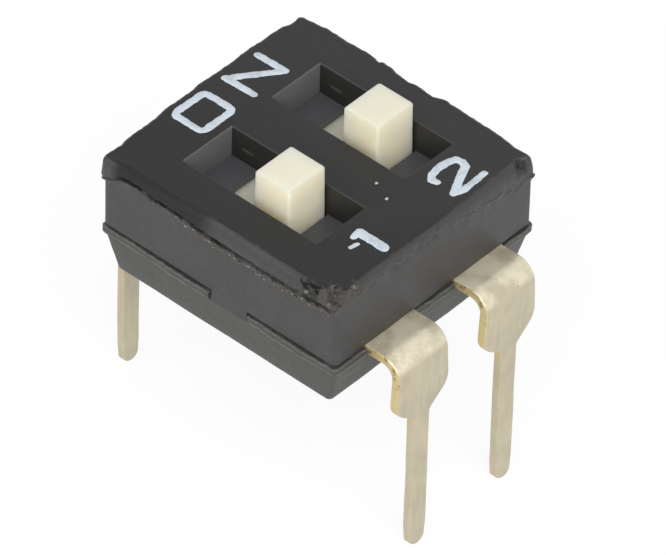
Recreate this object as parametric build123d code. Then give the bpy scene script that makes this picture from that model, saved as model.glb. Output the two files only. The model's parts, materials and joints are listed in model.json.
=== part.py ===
from build123d import *
import math
import os

# A two-position slide switch for a circuit board, with raised knobs and through-hole legs.
# X runs along each row of legs, from position 1 to position 2. +Y points to the ON side.
# Z is up. z = 0 is at the tips of the legs, and X = Y = 0 is the middle of the housing.

# Layout of the positions and legs
positions = 2
pitch = 2.54  # from one position to the next, and from leg to leg in a row
row_spacing = 7.62  # between the two rows, leg centre to leg centre
end_margin = 1.585  # from the outer position's centreline to the cover's end wall

# Heights of the main planes
standoff = 4.00  # leg tips to the underside of the base
base_height = 1.16  # underside of the base to the parting plane
cover_height = 1.74  # parting plane to the top face

# Cover
cover_width = 6.06
cover_corner = 0.10
slab_height = 0.42  # top part of the cover, which stands out over the walls
slab_overhang = 0.06  # at the slab's lower rim
slab_draft = 0.05  # the slab is this much smaller at its top, on each side
top_chamfer = 0.05
tongue_width = 0.94  # the tongue on each end wall that reaches down over the base's flange
tongue_offset = -0.29  # the tongue's centre along Y
tongue_depth = 0.34
tongue_gap = 0.03

# Recess round each knob, and the window in its floor
recess_length = 3.44
recess_width = 1.38
recess_depth = 0.74
recess_offset_x = 0.05  # recess centre from the position's centreline
recess_offset_y = 0.065
recess_edge = 0.04  # rounding of the recess's mouth
web_thickness = 0.14  # plastic left under the recess, over the slider

# Slider: a plate under the web, with two rails below it and the knob on top
knob_width = 1.04  # along X, at the top of the knob
knob_length = 0.90  # along Y, at the top of the knob
knob_proud = 0.49  # above the cover's top face
knob_taper = 0.8  # degrees on each side
knob_corner = 0.05
knob_edge = 0.04
slider_offset_x = 0.17  # slider centre from the position's centreline
slider_rest_y = -0.24  # knob centre with the switch off
travel = 0.85
plate_width = 1.80
plate_thickness = 0.30
plate_overlap = 0.13  # how far the plate still covers the window's end at each stop
rail_width = 0.24
stake_diameter = 0.26  # the round post that holds the contact spring
stake_head = 0.06  # how far the post stands out under the spring

# Running clearances
slide_play = 0.02  # above the plate and below its rails
side_play = 0.03  # each side of the plate
end_play = 0.04  # beyond the plate at each stop
knob_play = 0.03  # round the foot of the knob in the window
foot_gap = 0.012  # between the spring's feet and the pads
stake_play = 0.02

# Contact spring
strip_thickness = 0.08
strip_width = 0.70
foot_reach = 0.75  # from the spring's centre to each foot
seat_length = 0.80  # flat stretch under the plate
foot_flat = 0.12  # flat stretch of each foot, on the pad
toe_length = 0.16  # upturned end beyond each foot
toe_rise = 0.14
spring_bend = 0.10
slit_width = 0.14  # the slit that parts each arm into two fingers

# Legs, bent from sheet
sheet = 0.20
bend_radius = 0.45  # outside of the bend
number_shoulder = 1.42  # width where the sheet leaves the housing, on the number side
on_shoulder = 1.12  # the same on the ON side
shoulder_flare = 0.10  # the shoulder is this much wider at its foot
shoulder_foot = 3.88  # height at which the shoulder starts to narrow
leg_top = 3.44  # height at which it has narrowed to the leg
leg_width = 0.46
tip_width = 0.38  # the leg narrows to this at its tip
tip_length = 0.50
shoulder_round = 0.22
neck_round = 0.12
tip_round = 0.16
pad_width = 1.06
pad_gap = 0.30  # plastic between the two pads of one position
anchor_inset = 0.35  # how far inside the wall the sheet narrows to the pad

# Base
flange_height = 0.19
flange_overhang = 0.035
groove_height = 0.05  # open line between the flange and the cover
groove_depth = 0.14
ledge_inset = 0.02  # the tapered body starts this far inside the cover's walls
base_taper_x = 0.163  # inset at the underside, on each end
base_taper_y = 0.247  # inset at the underside, on each long side
base_corner = 0.10
underside_chamfer = 0.06

# Two posts on the base, at opposite corners, that locate the cover
post_diameter = 0.44
post_height = 0.50  # above the parting plane
post_inset = 0.45  # from the cover's walls to the post's centre
post_chamfer = 0.06
post_play = 0.02
post_headroom = 0.06  # the hole is this much deeper than the post is tall

# Worked out from the sizes above
cover_length = (positions - 1) * pitch + 2 * end_margin
parting_z = standoff + base_height
top_z = parting_z + cover_height
rim_z = top_z - slab_height
floor_z = top_z - recess_depth
web_bottom_z = floor_z - web_thickness
plate_top_z = web_bottom_z - slide_play
plate_bottom_z = plate_top_z - plate_thickness
knob_top_z = top_z + knob_proud
flange_top_z = parting_z - groove_height
ledge_z = flange_top_z - flange_height
knob_flare = (knob_top_z - plate_top_z) * math.tan(math.radians(knob_taper))
knob_foot_width = knob_width + 2 * knob_flare
knob_foot_length = knob_length + 2 * knob_flare
plate_length = knob_foot_length + 2 * (travel + plate_overlap)
leg_outer_y = row_spacing / 2 + sheet / 2
pad_split_y = slider_rest_y + travel / 2 + foot_reach


def centreline(index):
    """X of one position, counted from 0."""
    return (index - (positions - 1) / 2) * pitch


def block(size_x, size_y, low_z, high_z, x=0.0, y=0.0, corner=0.0):
    """Upright block between two heights, with rounded upright edges where a radius is given."""
    outline = Rectangle(size_x, size_y) if corner == 0 else RectangleRounded(size_x, size_y, corner)
    return extrude(Plane.XY.offset(low_z) * Pos(x, y) * outline, high_z - low_z)


def frustum(low_size, high_size, low_z, high_z, corner):
    """Upright block whose four sides lean, from one rounded rectangle to another."""
    low = Plane.XY.offset(low_z) * RectangleRounded(*low_size, corner)
    high = Plane.XY.offset(high_z) * RectangleRounded(*high_size, corner)
    return loft([low, high])


def tongue(end, clearance=0.0):
    """Tongue of the cover at one end, or the notch that it drops into."""
    outer_x = cover_length / 2 + (flange_overhang if clearance else 0)
    inner_x = cover_length / 2 - tongue_depth - clearance
    x = end * (outer_x + inner_x) / 2
    low_z = ledge_z - clearance
    width = tongue_width + 2 * clearance
    return block(outer_x - inner_x, width, low_z, parting_z, x, tongue_offset)


def slider_channel(index):
    """Space inside the cover that one slider runs in."""
    x = centreline(index) + slider_offset_x
    length = plate_length + travel + 2 * end_play
    y = slider_rest_y + travel / 2
    return block(plate_width + 2 * side_play, length, parting_z, web_bottom_z, x, y)


def knob_window(index):
    """Window in the recess floor that one knob's foot runs in."""
    x = centreline(index) + slider_offset_x
    length = knob_foot_length + travel + 2 * knob_play
    y = slider_rest_y + travel / 2
    return block(knob_foot_width + 2 * knob_play, length, web_bottom_z, floor_z, x, y)


def locating_post(corner, clearance=0.0, headroom=0.0):
    """Post of the base at one corner, or the hole that it enters. corner is -1 or 1, along X and Y alike."""
    x = corner * (cover_length / 2 - post_inset)
    y = corner * (cover_width / 2 - post_inset)
    foot = Plane.XY.offset(parting_z) * Pos(x, y) * Circle(post_diameter / 2 + clearance)
    return extrude(foot, post_height + headroom)


def recess(index):
    """Open recess round one knob, with a rounded mouth."""
    x = centreline(index) + recess_offset_x
    well = block(recess_width, recess_length, floor_z, top_z, x, recess_offset_y)
    grown = (recess_width + 2 * recess_edge, recess_length + 2 * recess_edge)
    brim = block(*grown, top_z - recess_edge, top_z, x, recess_offset_y)
    lower_edges = brim.edges().filter_by(Axis.Z, reverse=True).group_by(Axis.Z)[0]
    return well + chamfer(lower_edges, recess_edge * 0.98)


def make_cover():
    """Moulded cover: walls, slab, recesses, windows, slider channels and end tongues."""
    walls = block(cover_length, cover_width, parting_z, rim_z, corner=cover_corner)
    rim = (cover_length + 2 * slab_overhang, cover_width + 2 * slab_overhang)
    face = (rim[0] - 2 * slab_draft, rim[1] - 2 * slab_draft)
    slab = frustum(rim, face, rim_z, top_z, cover_corner)
    slab = chamfer(slab.edges().group_by(Axis.Z)[-1], top_chamfer)
    cover = walls + slab
    for index in range(positions):
        cover -= recess(index)
        cover -= slider_channel(index)
        cover -= knob_window(index)
    for end in (-1, 1):
        cover += tongue(end)
        cover -= locating_post(end, post_play, post_headroom)
    return cover


def leg_profile(pad_tip_y):
    """Side view of one bent leg on the -Y side, with its pad reaching in to pad_tip_y."""
    bend_y = -leg_outer_y + bend_radius
    bend_z = parting_z - bend_radius
    inner_radius = bend_radius - sheet
    with BuildSketch(Plane.YZ) as profile:
        with BuildLine():
            Line((pad_tip_y, parting_z), (bend_y, parting_z))
            CenterArc((bend_y, bend_z), bend_radius, 90, 90)
            Line((-leg_outer_y, bend_z), (-leg_outer_y, 0))
            Line((-leg_outer_y, 0), (-leg_outer_y + sheet, 0))
            Line((-leg_outer_y + sheet, 0), (-leg_outer_y + sheet, bend_z))
            CenterArc((bend_y, bend_z), inner_radius, 180, -90)
            Line((bend_y, parting_z - sheet), (pad_tip_y, parting_z - sheet))
            Line((pad_tip_y, parting_z - sheet), (pad_tip_y, parting_z))
        make_face()
    return profile.sketch


def leg_front(shoulder_width):
    """Front view of one leg: flared shoulder, neck and narrowed, rounded tip."""
    top = parting_z + sheet
    shoulder_top = shoulder_width / 2
    shoulder_low = shoulder_top + shoulder_flare / 2
    half_leg = leg_width / 2
    right = [
        (tip_width / 2, 0, tip_round),
        (half_leg, tip_length, neck_round),
        (half_leg, leg_top, neck_round),
        (shoulder_low, shoulder_foot, shoulder_round),
        (shoulder_top, parting_z - bend_radius, 0.02),
        (shoulder_top, top, 0.02),
    ]
    left = [(-x, z, radius) for x, z, radius in reversed(right)]
    corners = right + left
    with BuildSketch(Plane.XZ) as front:
        with BuildLine():
            points = [(x, z) for x, z, radius in corners]
            FilletPolyline(*points, radius=[radius for x, z, radius in corners], close=True)
        make_face()
    return front.sketch


def leg_plan(pad_tip_y, widest):
    """Top view of one leg on the -Y side: shoulder outside the wall, narrower pad inside."""
    narrow_y = -cover_width / 2 + anchor_inset
    outside = Rectangle(widest, leg_outer_y + narrow_y, align=(Align.CENTER, Align.MIN))
    pad = Rectangle(pad_width, pad_tip_y - narrow_y, align=(Align.CENTER, Align.MIN))
    return Pos(0, -leg_outer_y) * outside + Pos(0, narrow_y) * pad


def make_terminal(index, side):
    """One terminal: leg, bend and contact pad in a single strip. side is -1 or 1 along Y."""
    pad_tip_y = side * -pad_split_y - pad_gap / 2
    shoulder_width = number_shoulder if side < 0 else on_shoulder
    widest = shoulder_width + shoulder_flare
    strip = extrude(leg_profile(pad_tip_y), widest / 2, both=True)
    strip = strip & extrude(leg_front(shoulder_width), row_spacing, both=True)
    strip = strip & extrude(leg_plan(pad_tip_y, widest), parting_z + sheet)
    turned = strip if side < 0 else Rot(Z=180) * strip
    return Pos(centreline(index), 0) * turned


def make_base(terminals):
    """Moulded base: tapered body, flange and deck, moulded round the terminals."""
    underside = (cover_length - 2 * base_taper_x, cover_width - 2 * base_taper_y)
    ledge = (cover_length - 2 * ledge_inset, cover_width - 2 * ledge_inset)
    body = frustum(underside, ledge, standoff, ledge_z, base_corner)
    body = chamfer(body.edges().group_by(Axis.Z)[0], underside_chamfer)
    flange_size = (cover_length + 2 * flange_overhang, cover_width + 2 * flange_overhang)
    flange = block(*flange_size, ledge_z, flange_top_z, corner=cover_corner)
    deck_size = (cover_length - 2 * groove_depth, cover_width - 2 * groove_depth)
    deck = block(*deck_size, flange_top_z, parting_z, corner=cover_corner)
    base = body + flange + deck
    for end in (-1, 1):
        base -= tongue(end, tongue_gap)
        post = locating_post(end)
        base += chamfer(post.edges().group_by(Axis.Z)[-1], post_chamfer)
    for terminal in terminals:
        base -= terminal
    return base


def make_slider(index):
    """One slider: plate, two rails, knob and the post for the contact spring."""
    rail_bottom_z = parting_z + slide_play
    slider = block(plate_width, plate_length, plate_bottom_z, plate_top_z)
    for side in (-1, 1):
        rail_x = side * (plate_width - rail_width) / 2
        slider += block(rail_width, plate_length, rail_bottom_z, plate_bottom_z, rail_x)
    foot = (knob_foot_width, knob_foot_length)
    knob = frustum(foot, (knob_width, knob_length), plate_top_z, knob_top_z, knob_corner)
    knob = fillet(knob.edges().group_by(Axis.Z)[-1], knob_edge)
    stake_bottom_z = plate_bottom_z - strip_thickness - stake_head
    stake_foot = Plane.XY.offset(stake_bottom_z) * Circle(stake_diameter / 2)
    slider += knob + extrude(stake_foot, plate_bottom_z - stake_bottom_z)
    return Pos(centreline(index) + slider_offset_x, slider_rest_y) * slider


def make_contact(index):
    """One contact spring: flat seat on the slider's post, two slit arms, feet and upturned toes."""
    seat_z = plate_bottom_z - strip_thickness / 2
    foot_z = parting_z + foot_gap + strip_thickness / 2
    right = [
        (seat_length / 2, seat_z),
        (foot_reach - foot_flat / 2, foot_z),
        (foot_reach + foot_flat / 2, foot_z),
        (foot_reach + foot_flat / 2 + toe_length, foot_z + toe_rise),
    ]
    left = [(-y, z) for y, z in reversed(right)]
    middle = FilletPolyline(*(left + right), radius=spring_bend)
    ribbon = Plane.YZ * trace(middle, line_width=strip_thickness)
    spring = extrude(ribbon, strip_width / 2, both=True)
    hole = Cylinder(stake_diameter / 2 + stake_play, 4 * strip_thickness)
    spring -= Pos(0, 0, seat_z) * hole
    slit_length = foot_reach + foot_flat / 2 + toe_length
    for side in (-1, 1):
        slit_y = side * (seat_length / 2 + slit_length / 2)
        spring -= block(slit_width, slit_length, parting_z, plate_bottom_z, 0, slit_y)
    return Pos(centreline(index) + slider_offset_x, slider_rest_y) * spring


def save(node, solid):
    """Write one node's STEP file."""
    export_step(solid, "parts/" + node + ".step")


os.makedirs("parts", exist_ok=True)
all_terminals = []
for side, row in ((-1, "number_side"), (1, "on_side")):
    for index in range(positions):
        terminal = make_terminal(index, side)
        all_terminals.append(terminal)
        save("terminal_" + row + "_" + str(index + 1), terminal)
save("base", make_base(all_terminals))
save("cover", make_cover())
for index in range(positions):
    save("slider_" + str(index + 1), make_slider(index))
    save("contact_" + str(index + 1), make_contact(index))
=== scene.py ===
"""A two-position slide switch for a circuit board: its moulded housing with flash and chips, printed
marks, ivory sliders and plated legs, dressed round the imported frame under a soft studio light."""

import json
import logging
import math
from collections.abc import Callable, Sequence
from dataclasses import dataclass, field
from enum import Enum
from functools import partial

import bmesh
import bpy
from mathutils import Matrix, Vector, noise

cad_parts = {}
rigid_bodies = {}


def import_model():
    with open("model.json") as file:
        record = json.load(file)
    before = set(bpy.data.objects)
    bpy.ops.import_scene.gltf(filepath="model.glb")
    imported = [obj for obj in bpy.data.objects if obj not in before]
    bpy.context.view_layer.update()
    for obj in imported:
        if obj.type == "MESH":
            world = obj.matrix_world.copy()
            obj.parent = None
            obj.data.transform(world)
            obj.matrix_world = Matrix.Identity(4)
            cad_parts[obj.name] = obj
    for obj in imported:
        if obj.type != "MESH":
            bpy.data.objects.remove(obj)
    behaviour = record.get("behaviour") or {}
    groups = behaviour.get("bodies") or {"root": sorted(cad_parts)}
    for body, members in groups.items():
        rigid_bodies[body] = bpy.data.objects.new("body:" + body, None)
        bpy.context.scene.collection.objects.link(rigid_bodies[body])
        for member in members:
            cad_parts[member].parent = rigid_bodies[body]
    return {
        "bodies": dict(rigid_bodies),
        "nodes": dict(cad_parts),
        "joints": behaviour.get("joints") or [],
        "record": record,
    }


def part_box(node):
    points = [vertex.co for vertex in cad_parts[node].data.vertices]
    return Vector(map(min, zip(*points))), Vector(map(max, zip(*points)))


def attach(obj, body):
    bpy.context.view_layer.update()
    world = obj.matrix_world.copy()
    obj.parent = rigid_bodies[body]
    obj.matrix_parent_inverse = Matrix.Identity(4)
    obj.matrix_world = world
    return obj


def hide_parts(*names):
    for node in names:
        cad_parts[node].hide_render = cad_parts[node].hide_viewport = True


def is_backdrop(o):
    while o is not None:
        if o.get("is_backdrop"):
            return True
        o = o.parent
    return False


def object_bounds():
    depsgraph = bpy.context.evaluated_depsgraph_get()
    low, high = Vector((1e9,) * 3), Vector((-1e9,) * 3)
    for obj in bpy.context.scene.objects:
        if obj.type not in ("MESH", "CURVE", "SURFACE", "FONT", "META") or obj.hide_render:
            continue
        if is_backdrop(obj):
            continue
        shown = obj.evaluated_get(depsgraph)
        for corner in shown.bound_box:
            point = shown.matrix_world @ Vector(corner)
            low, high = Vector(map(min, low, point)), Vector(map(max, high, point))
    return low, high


LOG = logging.getLogger("switch")
MM = 0.001  # a millimetre in Blender's metres
LAP = 0.1  # how far cutters and joined solids reach past the faces that they meet

Colour = tuple[float, float, float]
Point = tuple[float, float, float]
Profile = tuple[tuple[float, float], ...]
FLAT: Profile = ((0.0, 0.0),)


class Side(Enum):
    """The four sides of the housing, in walking order anticlockwise from above."""

    PLUS_X = 0
    PLUS_Y = 1
    MINUS_X = 2
    MINUS_Y = 3

    def outward(self) -> tuple[int, int]:
        """The side's direction along X and Y."""
        angle = self.value * math.pi / 2
        return round(math.cos(angle)), round(math.sin(angle))


class Row(Enum):
    """The two rows of legs, by the sign of Y."""

    NUMBER_SIDE = -1
    ON_SIDE = 1

    @property
    def shoulder_half(self) -> float:
        """Half width of a leg's sheet where it leaves the housing."""
        return 0.71 if self is Row.NUMBER_SIDE else 0.56


class Cut(Enum):
    """What a second solid does to the first."""

    TAKE_AWAY = "DIFFERENCE"
    ADD = "UNION"


@dataclass(frozen=True)
class Plan:
    """Sizes that more than one piece is built to, in millimetres.

    Attributes:
        half_x, half_y: The housing seen from above.
        parting_z: Height of the plane where cover and base meet.
        slider_shift, knob_y, travel: Where a knob sits in its recess, and how far it slides.
        sheet: Thickness of the legs' strip.
        pad_half, split_y, split_gap: The contact pads, and the gap between the tips of two rows.
        anchor_y: Where a leg's pad widens to its shoulder.
    """

    half_x: float = 2.855
    half_y: float = 3.03
    parting_z: float = 5.16
    slider_shift: float = 0.17
    knob_y: float = -0.24
    travel: float = 0.85
    sheet: float = 0.20
    pad_half: float = 0.53
    split_y: float = 0.935
    split_gap: float = 0.30
    anchor_y: float = 2.68


PLAN = Plan()


def between(table: Profile, place: float) -> float:
    """Reads a drawn profile with smooth steps between its points.

    Args:
        table: Places and values, in rising order of place.
        place: Where to read it.

    Returns:
        The value there, held level beyond both ends.
    """
    if place <= table[0][0]:
        return table[0][1]
    for (low, first), (high, second) in zip(table, table[1:]):
        if place <= high:
            share = (place - low) / (high - low)
            return first + (second - first) * share * share * (3 - 2 * share)
    return table[-1][1]


def grain(scale: float, *place: float) -> float:
    """Smooth noise from -1 to 1 with about `scale` waves to a millimetre."""
    return noise.noise(Vector(place + (0.37,) * (3 - len(place))) * scale)


# Finishes


class Wire:
    """A value in a node tree, with arithmetic that adds the nodes for it."""

    def __init__(self, graph: "Graph", socket: bpy.types.NodeSocket) -> None:
        """Wraps one output socket."""
        self.graph = graph
        self.socket = socket

    def _maths(self, operation: str, *values: "Wire | float") -> "Wire":
        """Adds one Math node over the given values."""
        return self.graph.add("ShaderNodeMath", {"operation": operation}, dict(enumerate(values)))

    def __add__(self, other: "Wire | float") -> "Wire":
        """Sum."""
        return self._maths("ADD", self, other)

    __radd__ = __add__

    def __sub__(self, other: "Wire | float") -> "Wire":
        """Difference."""
        return self._maths("SUBTRACT", self, other)

    def __rsub__(self, other: float) -> "Wire":
        """Difference from a number, so that 1 - mask works."""
        return self._maths("SUBTRACT", other, self)

    def __mul__(self, other: "Wire | float") -> "Wire":
        """Product."""
        return self._maths("MULTIPLY", self, other)

    __rmul__ = __mul__

    def __abs__(self) -> "Wire":
        """Size without sign."""
        return self._maths("ABSOLUTE", self)

    def clamp(self) -> "Wire":
        """The value held between 0 and 1."""
        return self.graph.add("ShaderNodeClamp", {}, {"Value": self})

    def step(self, low: float, high: float) -> "Wire":
        """A smooth step.

        Args:
            low: The value that becomes 0.
            high: The value that becomes 1; it may be below `low`, and then the step falls.

        Returns:
            The stepped value.
        """
        if high < low:
            return 1 - self.step(high, low)
        ends = {"Value": self, "From Min": low, "From Max": high}
        return self.graph.add("ShaderNodeMapRange", {"interpolation_type": "SMOOTHSTEP"}, ends)

    def follow(self, table: Profile) -> "Wire | float":
        """Reads a drawn profile as `between` does, with this value as the place.

        Args:
            table: Places and values, in rising order of place.

        Returns:
            The value there, a plain number if the profile is level.
        """
        value: Wire | float = table[0][1]
        for (low, first), (high, second) in zip(table, table[1:]):
            if abs(second - first) > 0.001:
                value = self.step(low, high) * (second - first) + value
        return value


class Graph:
    """A node tree under construction."""

    def __init__(self, tree: bpy.types.NodeTree) -> None:
        """Takes the nodes of a material or a world."""
        self.tree = tree

    def node(self, kind: str, settings: dict, inputs: dict) -> bpy.types.Node:
        """Makes any node.

        Args:
            kind: The node's type.
            settings: Its own settings, set before its sockets.
            inputs: Numbers, colours or wires for its sockets, by name or number.

        Returns:
            The node.
        """
        node = self.tree.nodes.new(kind)
        for name, value in settings.items():
            setattr(node, name, value)
        for name, value in inputs.items():
            self.feed(node.inputs[name], value)
        return node

    def add(self, kind: str, settings: dict, inputs: dict, output: int | str = 0) -> Wire:
        """Makes any node and returns one of its outputs."""
        return Wire(self, self.node(kind, settings, inputs).outputs[output])

    def feed(self, socket: bpy.types.NodeSocket, value: "Wire | float | Sequence[float]") -> None:
        """Gives an input socket its value.

        Args:
            socket: The input.
            value: A wire to link, or a plain value to set; a colour gets its alpha here.
        """
        if isinstance(value, Wire):
            self.tree.links.new(value.socket, socket)
        elif isinstance(value, tuple) and len(socket.default_value) == 4:
            socket.default_value = (*value, 1.0)
        else:
            socket.default_value = value


class Shader(Graph):
    """A material under construction, with its one surface shader."""

    def __init__(self, name: str) -> None:
        """Starts an empty material with a Principled shader and its output."""
        self.material = bpy.data.materials.new(name)
        self.material.use_nodes = True
        super().__init__(self.material.node_tree)
        self.tree.nodes.clear()
        self.surface = self.node("ShaderNodeBsdfPrincipled", {}, {})
        surface = Wire(self, self.surface.outputs[0])
        self.output = self.node("ShaderNodeOutputMaterial", {}, {"Surface": surface})

    def set(self, **values: "Wire | float | Sequence[float]") -> None:
        """Feeds the surface shader's sockets, with _ for each space in a socket's name."""
        for name, value in values.items():
            self.feed(self.surface.inputs[name.replace("_", " ")], value)

    def place(self) -> Wire:
        """The point on the piece in millimetres, in the frame of the CAD."""
        where = self.add("ShaderNodeTexCoord", {}, {}, "Object")
        return self.add("ShaderNodeVectorMath", {"operation": "SCALE"}, {0: where, "Scale": 1 / MM})

    def drawn(self, stretch: Point) -> Wire:
        """The point on the piece with each axis scaled, for noise that is drawn out along one."""
        return self.add("ShaderNodeVectorMath", {"operation": "MULTIPLY"}, {0: self.place(), 1: stretch})

    def axes(self, vector: Wire) -> tuple[Wire, Wire, Wire]:
        """The three parts of a vector."""
        parts = self.node("ShaderNodeSeparateXYZ", {}, {0: vector}).outputs
        return Wire(self, parts[0]), Wire(self, parts[1]), Wire(self, parts[2])

    def facing(self) -> tuple[Wire, Wire, Wire]:
        """The three parts of the surface's direction."""
        return self.axes(self.add("ShaderNodeNewGeometry", {}, {}, "True Normal"))

    def mottle(self, place: Wire, scale: float, detail: float = 2.0, rough: float = 0.5) -> Wire:
        """Cloudy noise from 0 to 1 with `scale` waves to a millimetre."""
        inputs = {"Vector": place, "Scale": scale, "Detail": detail, "Roughness": rough}
        return self.add("ShaderNodeTexNoise", {}, inputs)

    def mix(self, share: "Wire | float", first: "Wire | Colour", second: "Wire | Colour") -> Wire:
        """Colour that goes from `first` to `second` as the share rises from 0 to 1."""
        inputs = {0: share, 6: first, 7: second}
        return self.add("ShaderNodeMix", {"data_type": "RGBA"}, inputs, 2)

    def bump(self, height: Wire, depth: float, under: Wire | None = None) -> Wire:
        """Bends the surface's direction by a height map.

        Args:
            height: The map, from 0 to 1.
            depth: Its full range in millimetres.
            under: A coarser bump that lies below it.

        Returns:
            The bent direction.
        """
        inputs = {"Height": height, "Distance": depth * MM, "Strength": 1.0}
        if under is not None:
            inputs["Normal"] = under
        return self.add("ShaderNodeBump", {}, inputs)


class Finish:
    """What the finishes share: each makes one material and paints its nodes."""

    def make(self, name: str) -> bpy.types.Material:
        """Builds the material.

        Args:
            name: The material's name.

        Returns:
            The material.
        """
        shader = Shader(name)
        self.paint(shader)
        return shader.material

    def paint(self, shader: Shader) -> None:
        """Sets the colour, gloss and grain of a material; each finish has its own."""
        raise NotImplementedError


@dataclass(frozen=True)
class Spot:
    """A round damaged place of the slab, seen from above."""

    x: float
    y: float
    radius: float


@dataclass(frozen=True)
class ShadeBand:
    """A level band round the outer walls, painted darker for shade and lighter for a highlight: its height,
    half width and shade of grey.
    """

    z: float
    half: float
    shade: float


@dataclass(frozen=True)
class Spread:
    """What the housing's finish is worked out from: place, direction and three sizes of noise."""

    shader: Shader
    x: Wire
    y: Wire
    z: Wire
    nx: Wire
    ny: Wire
    nz: Wire
    cloud: Wire
    patch: Wire
    fine: Wire

    @classmethod
    def over(cls, shader: Shader) -> "Spread":
        """Reads them all for one material."""
        place = shader.place()
        clouds = ((0.9, 3.0, 0.5), (3.6, 3.0, 0.6), (15.0, 4.0, 0.62))
        noises = (shader.mottle(place, *size) for size in clouds)
        return cls(shader, *shader.axes(place), *shader.facing(), *noises)


@dataclass(frozen=True)
class BlackPlastic(Finish):
    """Filled black moulding compound: satin and cloudy, torn and pale along its flash.

    Attributes:
        wall, cool: The two tones of the walls.
        face, hazed: The top face on the -X side and on the +X side.
        floor, end, far_wall_shade: Recess floors and end walls, painted lighter as painted light, and far
            walls, painted darker as painted shade.
        deep_shade, torn, pale, highlight_line, leg_shadow: Painted shade in crevices and pits, torn places,
        pale grains, painted highlight lines, painted olive shadows beside the legs.
        rims: How far the flash line rises along each side.
    """

    wall: Colour = (0.036, 0.035, 0.034)
    cool: Colour = (0.040, 0.040, 0.044)
    face: Colour = (0.0045, 0.0045, 0.0045)
    hazed: Colour = (0.0125, 0.0125, 0.0125)
    # Painted light: recess floors and end walls are lighter than the same plastic elsewhere.
    floor: Colour = (0.074, 0.075, 0.082)
    end: Colour = (0.133, 0.132, 0.134)
    # Painted shade: the recesses' far walls are darker.
    far_wall_shade: Colour = (0.022, 0.022, 0.020)
    # Painted shade for crevices and pits.
    deep_shade: Colour = (0.006, 0.006, 0.005)
    torn: Colour = (0.080, 0.064, 0.055)
    pale: Colour = (0.230, 0.215, 0.185)
    # Painted highlight for the line on the far walls and along the -Y lip.
    highlight_line: Colour = (0.085, 0.083, 0.074)
    # Painted olive shadow beside each leg.
    leg_shadow: Colour = (0.034, 0.028, 0.013)
    rough_low: float = 0.40
    rough_high: float = 0.56
    face_z: float = 6.90
    rim_z: float = 6.48
    edge: tuple[float, float] = (2.70, 2.90)
    edge_blend: float = 0.05
    inner: tuple[float, float] = (2.62, 2.75)
    inner_blend: float = 0.07
    rims: dict[Side, Profile] = field(default_factory=dict)
    # Bands of painted shade and painted highlight round the outer walls.
    shade_bands: tuple[ShadeBand, ...] = ()
    scars: tuple[Spot, ...] = ()
    # Chipped pits that are painted with shade.
    pits: tuple[Spot, ...] = ()
    # Places of the painted olive shadows beside the legs.
    leg_shadows: tuple[tuple[float, float], ...] = ()

    def paint(self, shader: Shader) -> None:
        """Lays the tones of the faces with their painted light and shade, then the torn flash, the painted
        shade and leg shadows, and the bands of painted shade and highlight.

        Args:
            shader: The material.
        """
        at = Spread.over(shader)
        body = self.faces(at)
        torn: Wire | float = 0.0
        if self.rims:
            body, torn = self.flash(at, body)
            body = self.cast_shade(at, body)
        outer = sum((self.skin(at, side) for side in Side), 0.0).clamp()
        # Bands of painted shade and painted highlight round the outer walls.
        for shade_band in self.shade_bands:
            near = abs(at.z - shade_band.z + (at.patch - 0.5) * 0.08).step(shade_band.half, shade_band.half * 0.3) * outer
            grey = (shade_band.shade, shade_band.shade, shade_band.shade * 0.92)
            body = shader.mix(near * at.fine.step(0.30, 0.60), body, grey)
        coarse = shader.bump(at.patch * outer, 0.016, shader.bump(at.cloud, 0.02))
        rough = at.fine * (self.rough_high - self.rough_low) + self.rough_low + torn * 0.25
        shader.set(Base_Color=body, Roughness=rough, Normal=shader.bump(at.fine, 0.008, coarse), IOR=1.50)

    def skin(self, at: Spread, side: Side) -> Wire:
        """Tells the outer skin of one side from what lies further in.

        Args:
            at: The point on the piece.
            side: The side of the housing.

        Returns:
            1 in the skin and 0 further in.
        """
        nx, ny = side.outward()
        limit = self.edge[0] if nx else self.edge[1]
        return (at.x * nx if nx else at.y * ny).step(limit, limit + self.edge_blend)

    def height(self, at: Spread) -> Wire:
        """Height above the flash line, which rises and falls along each side.

        Args:
            at: The point on the piece.

        Returns:
            The height in millimetres, below 0 under the line.
        """
        line: Wire | float = 0.0
        for side, table in self.rims.items():
            along = at.y if side.outward()[0] else at.x
            line = self.skin(at, side) * along.follow(table) + line
        return at.z - line - self.rim_z

    def broken(self, at: Spread, z: Wire, spots: Sequence[Spot]) -> Wire | float:
        """Broken places below the top face.

        Args:
            at: The point on the piece.
            z: Its height, which may be made uneven.
            spots: The places.

        Returns:
            1 inside them and 0 outside.
        """
        low = (z.step(self.face_z - 0.008, self.face_z - 0.02) + at.nz.step(0.97, 0.9)).clamp()
        low = low * z.step(self.face_z - 0.38, self.face_z - 0.24)
        found: Wire | float = 0.0
        for spot in spots:
            across, along = at.x - spot.x, at.y - spot.y
            limit = spot.radius * spot.radius
            found = (across * across + along * along).step(limit, limit * 0.6) * low + found
        return found

    def faces(self, at: Spread) -> Wire:
        """Colour by face: dark top, recess floors and end walls painted lighter as painted light, far walls
        painted darker as painted shade with a painted highlight line.

        Args:
            at: The point on the piece.

        Returns:
            The colour.
        """
        mix = at.shader.mix
        near_x, near_y = (half - self.inner_blend for half in self.inner)
        inner = abs(at.x).step(self.inner[0], near_x) * abs(at.y).step(self.inner[1], near_y)
        top = at.nz.step(0.90, 0.985) * at.z.step(self.face_z - 0.03, self.face_z - 0.015)
        face = mix((at.x + (at.cloud - 0.5) * 2.0).step(-1.8, 2.2), self.face, self.hazed)
        colour = mix(top, mix(at.cloud.step(0.35, 0.65), self.wall, self.cool), face)
        # Painted light: recess floors lighter.
        floor = at.nz.step(0.8, 0.95) * at.z.step(self.face_z - 0.4, self.face_z - 0.6) * inner
        colour = mix(floor, colour, self.floor)
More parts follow.
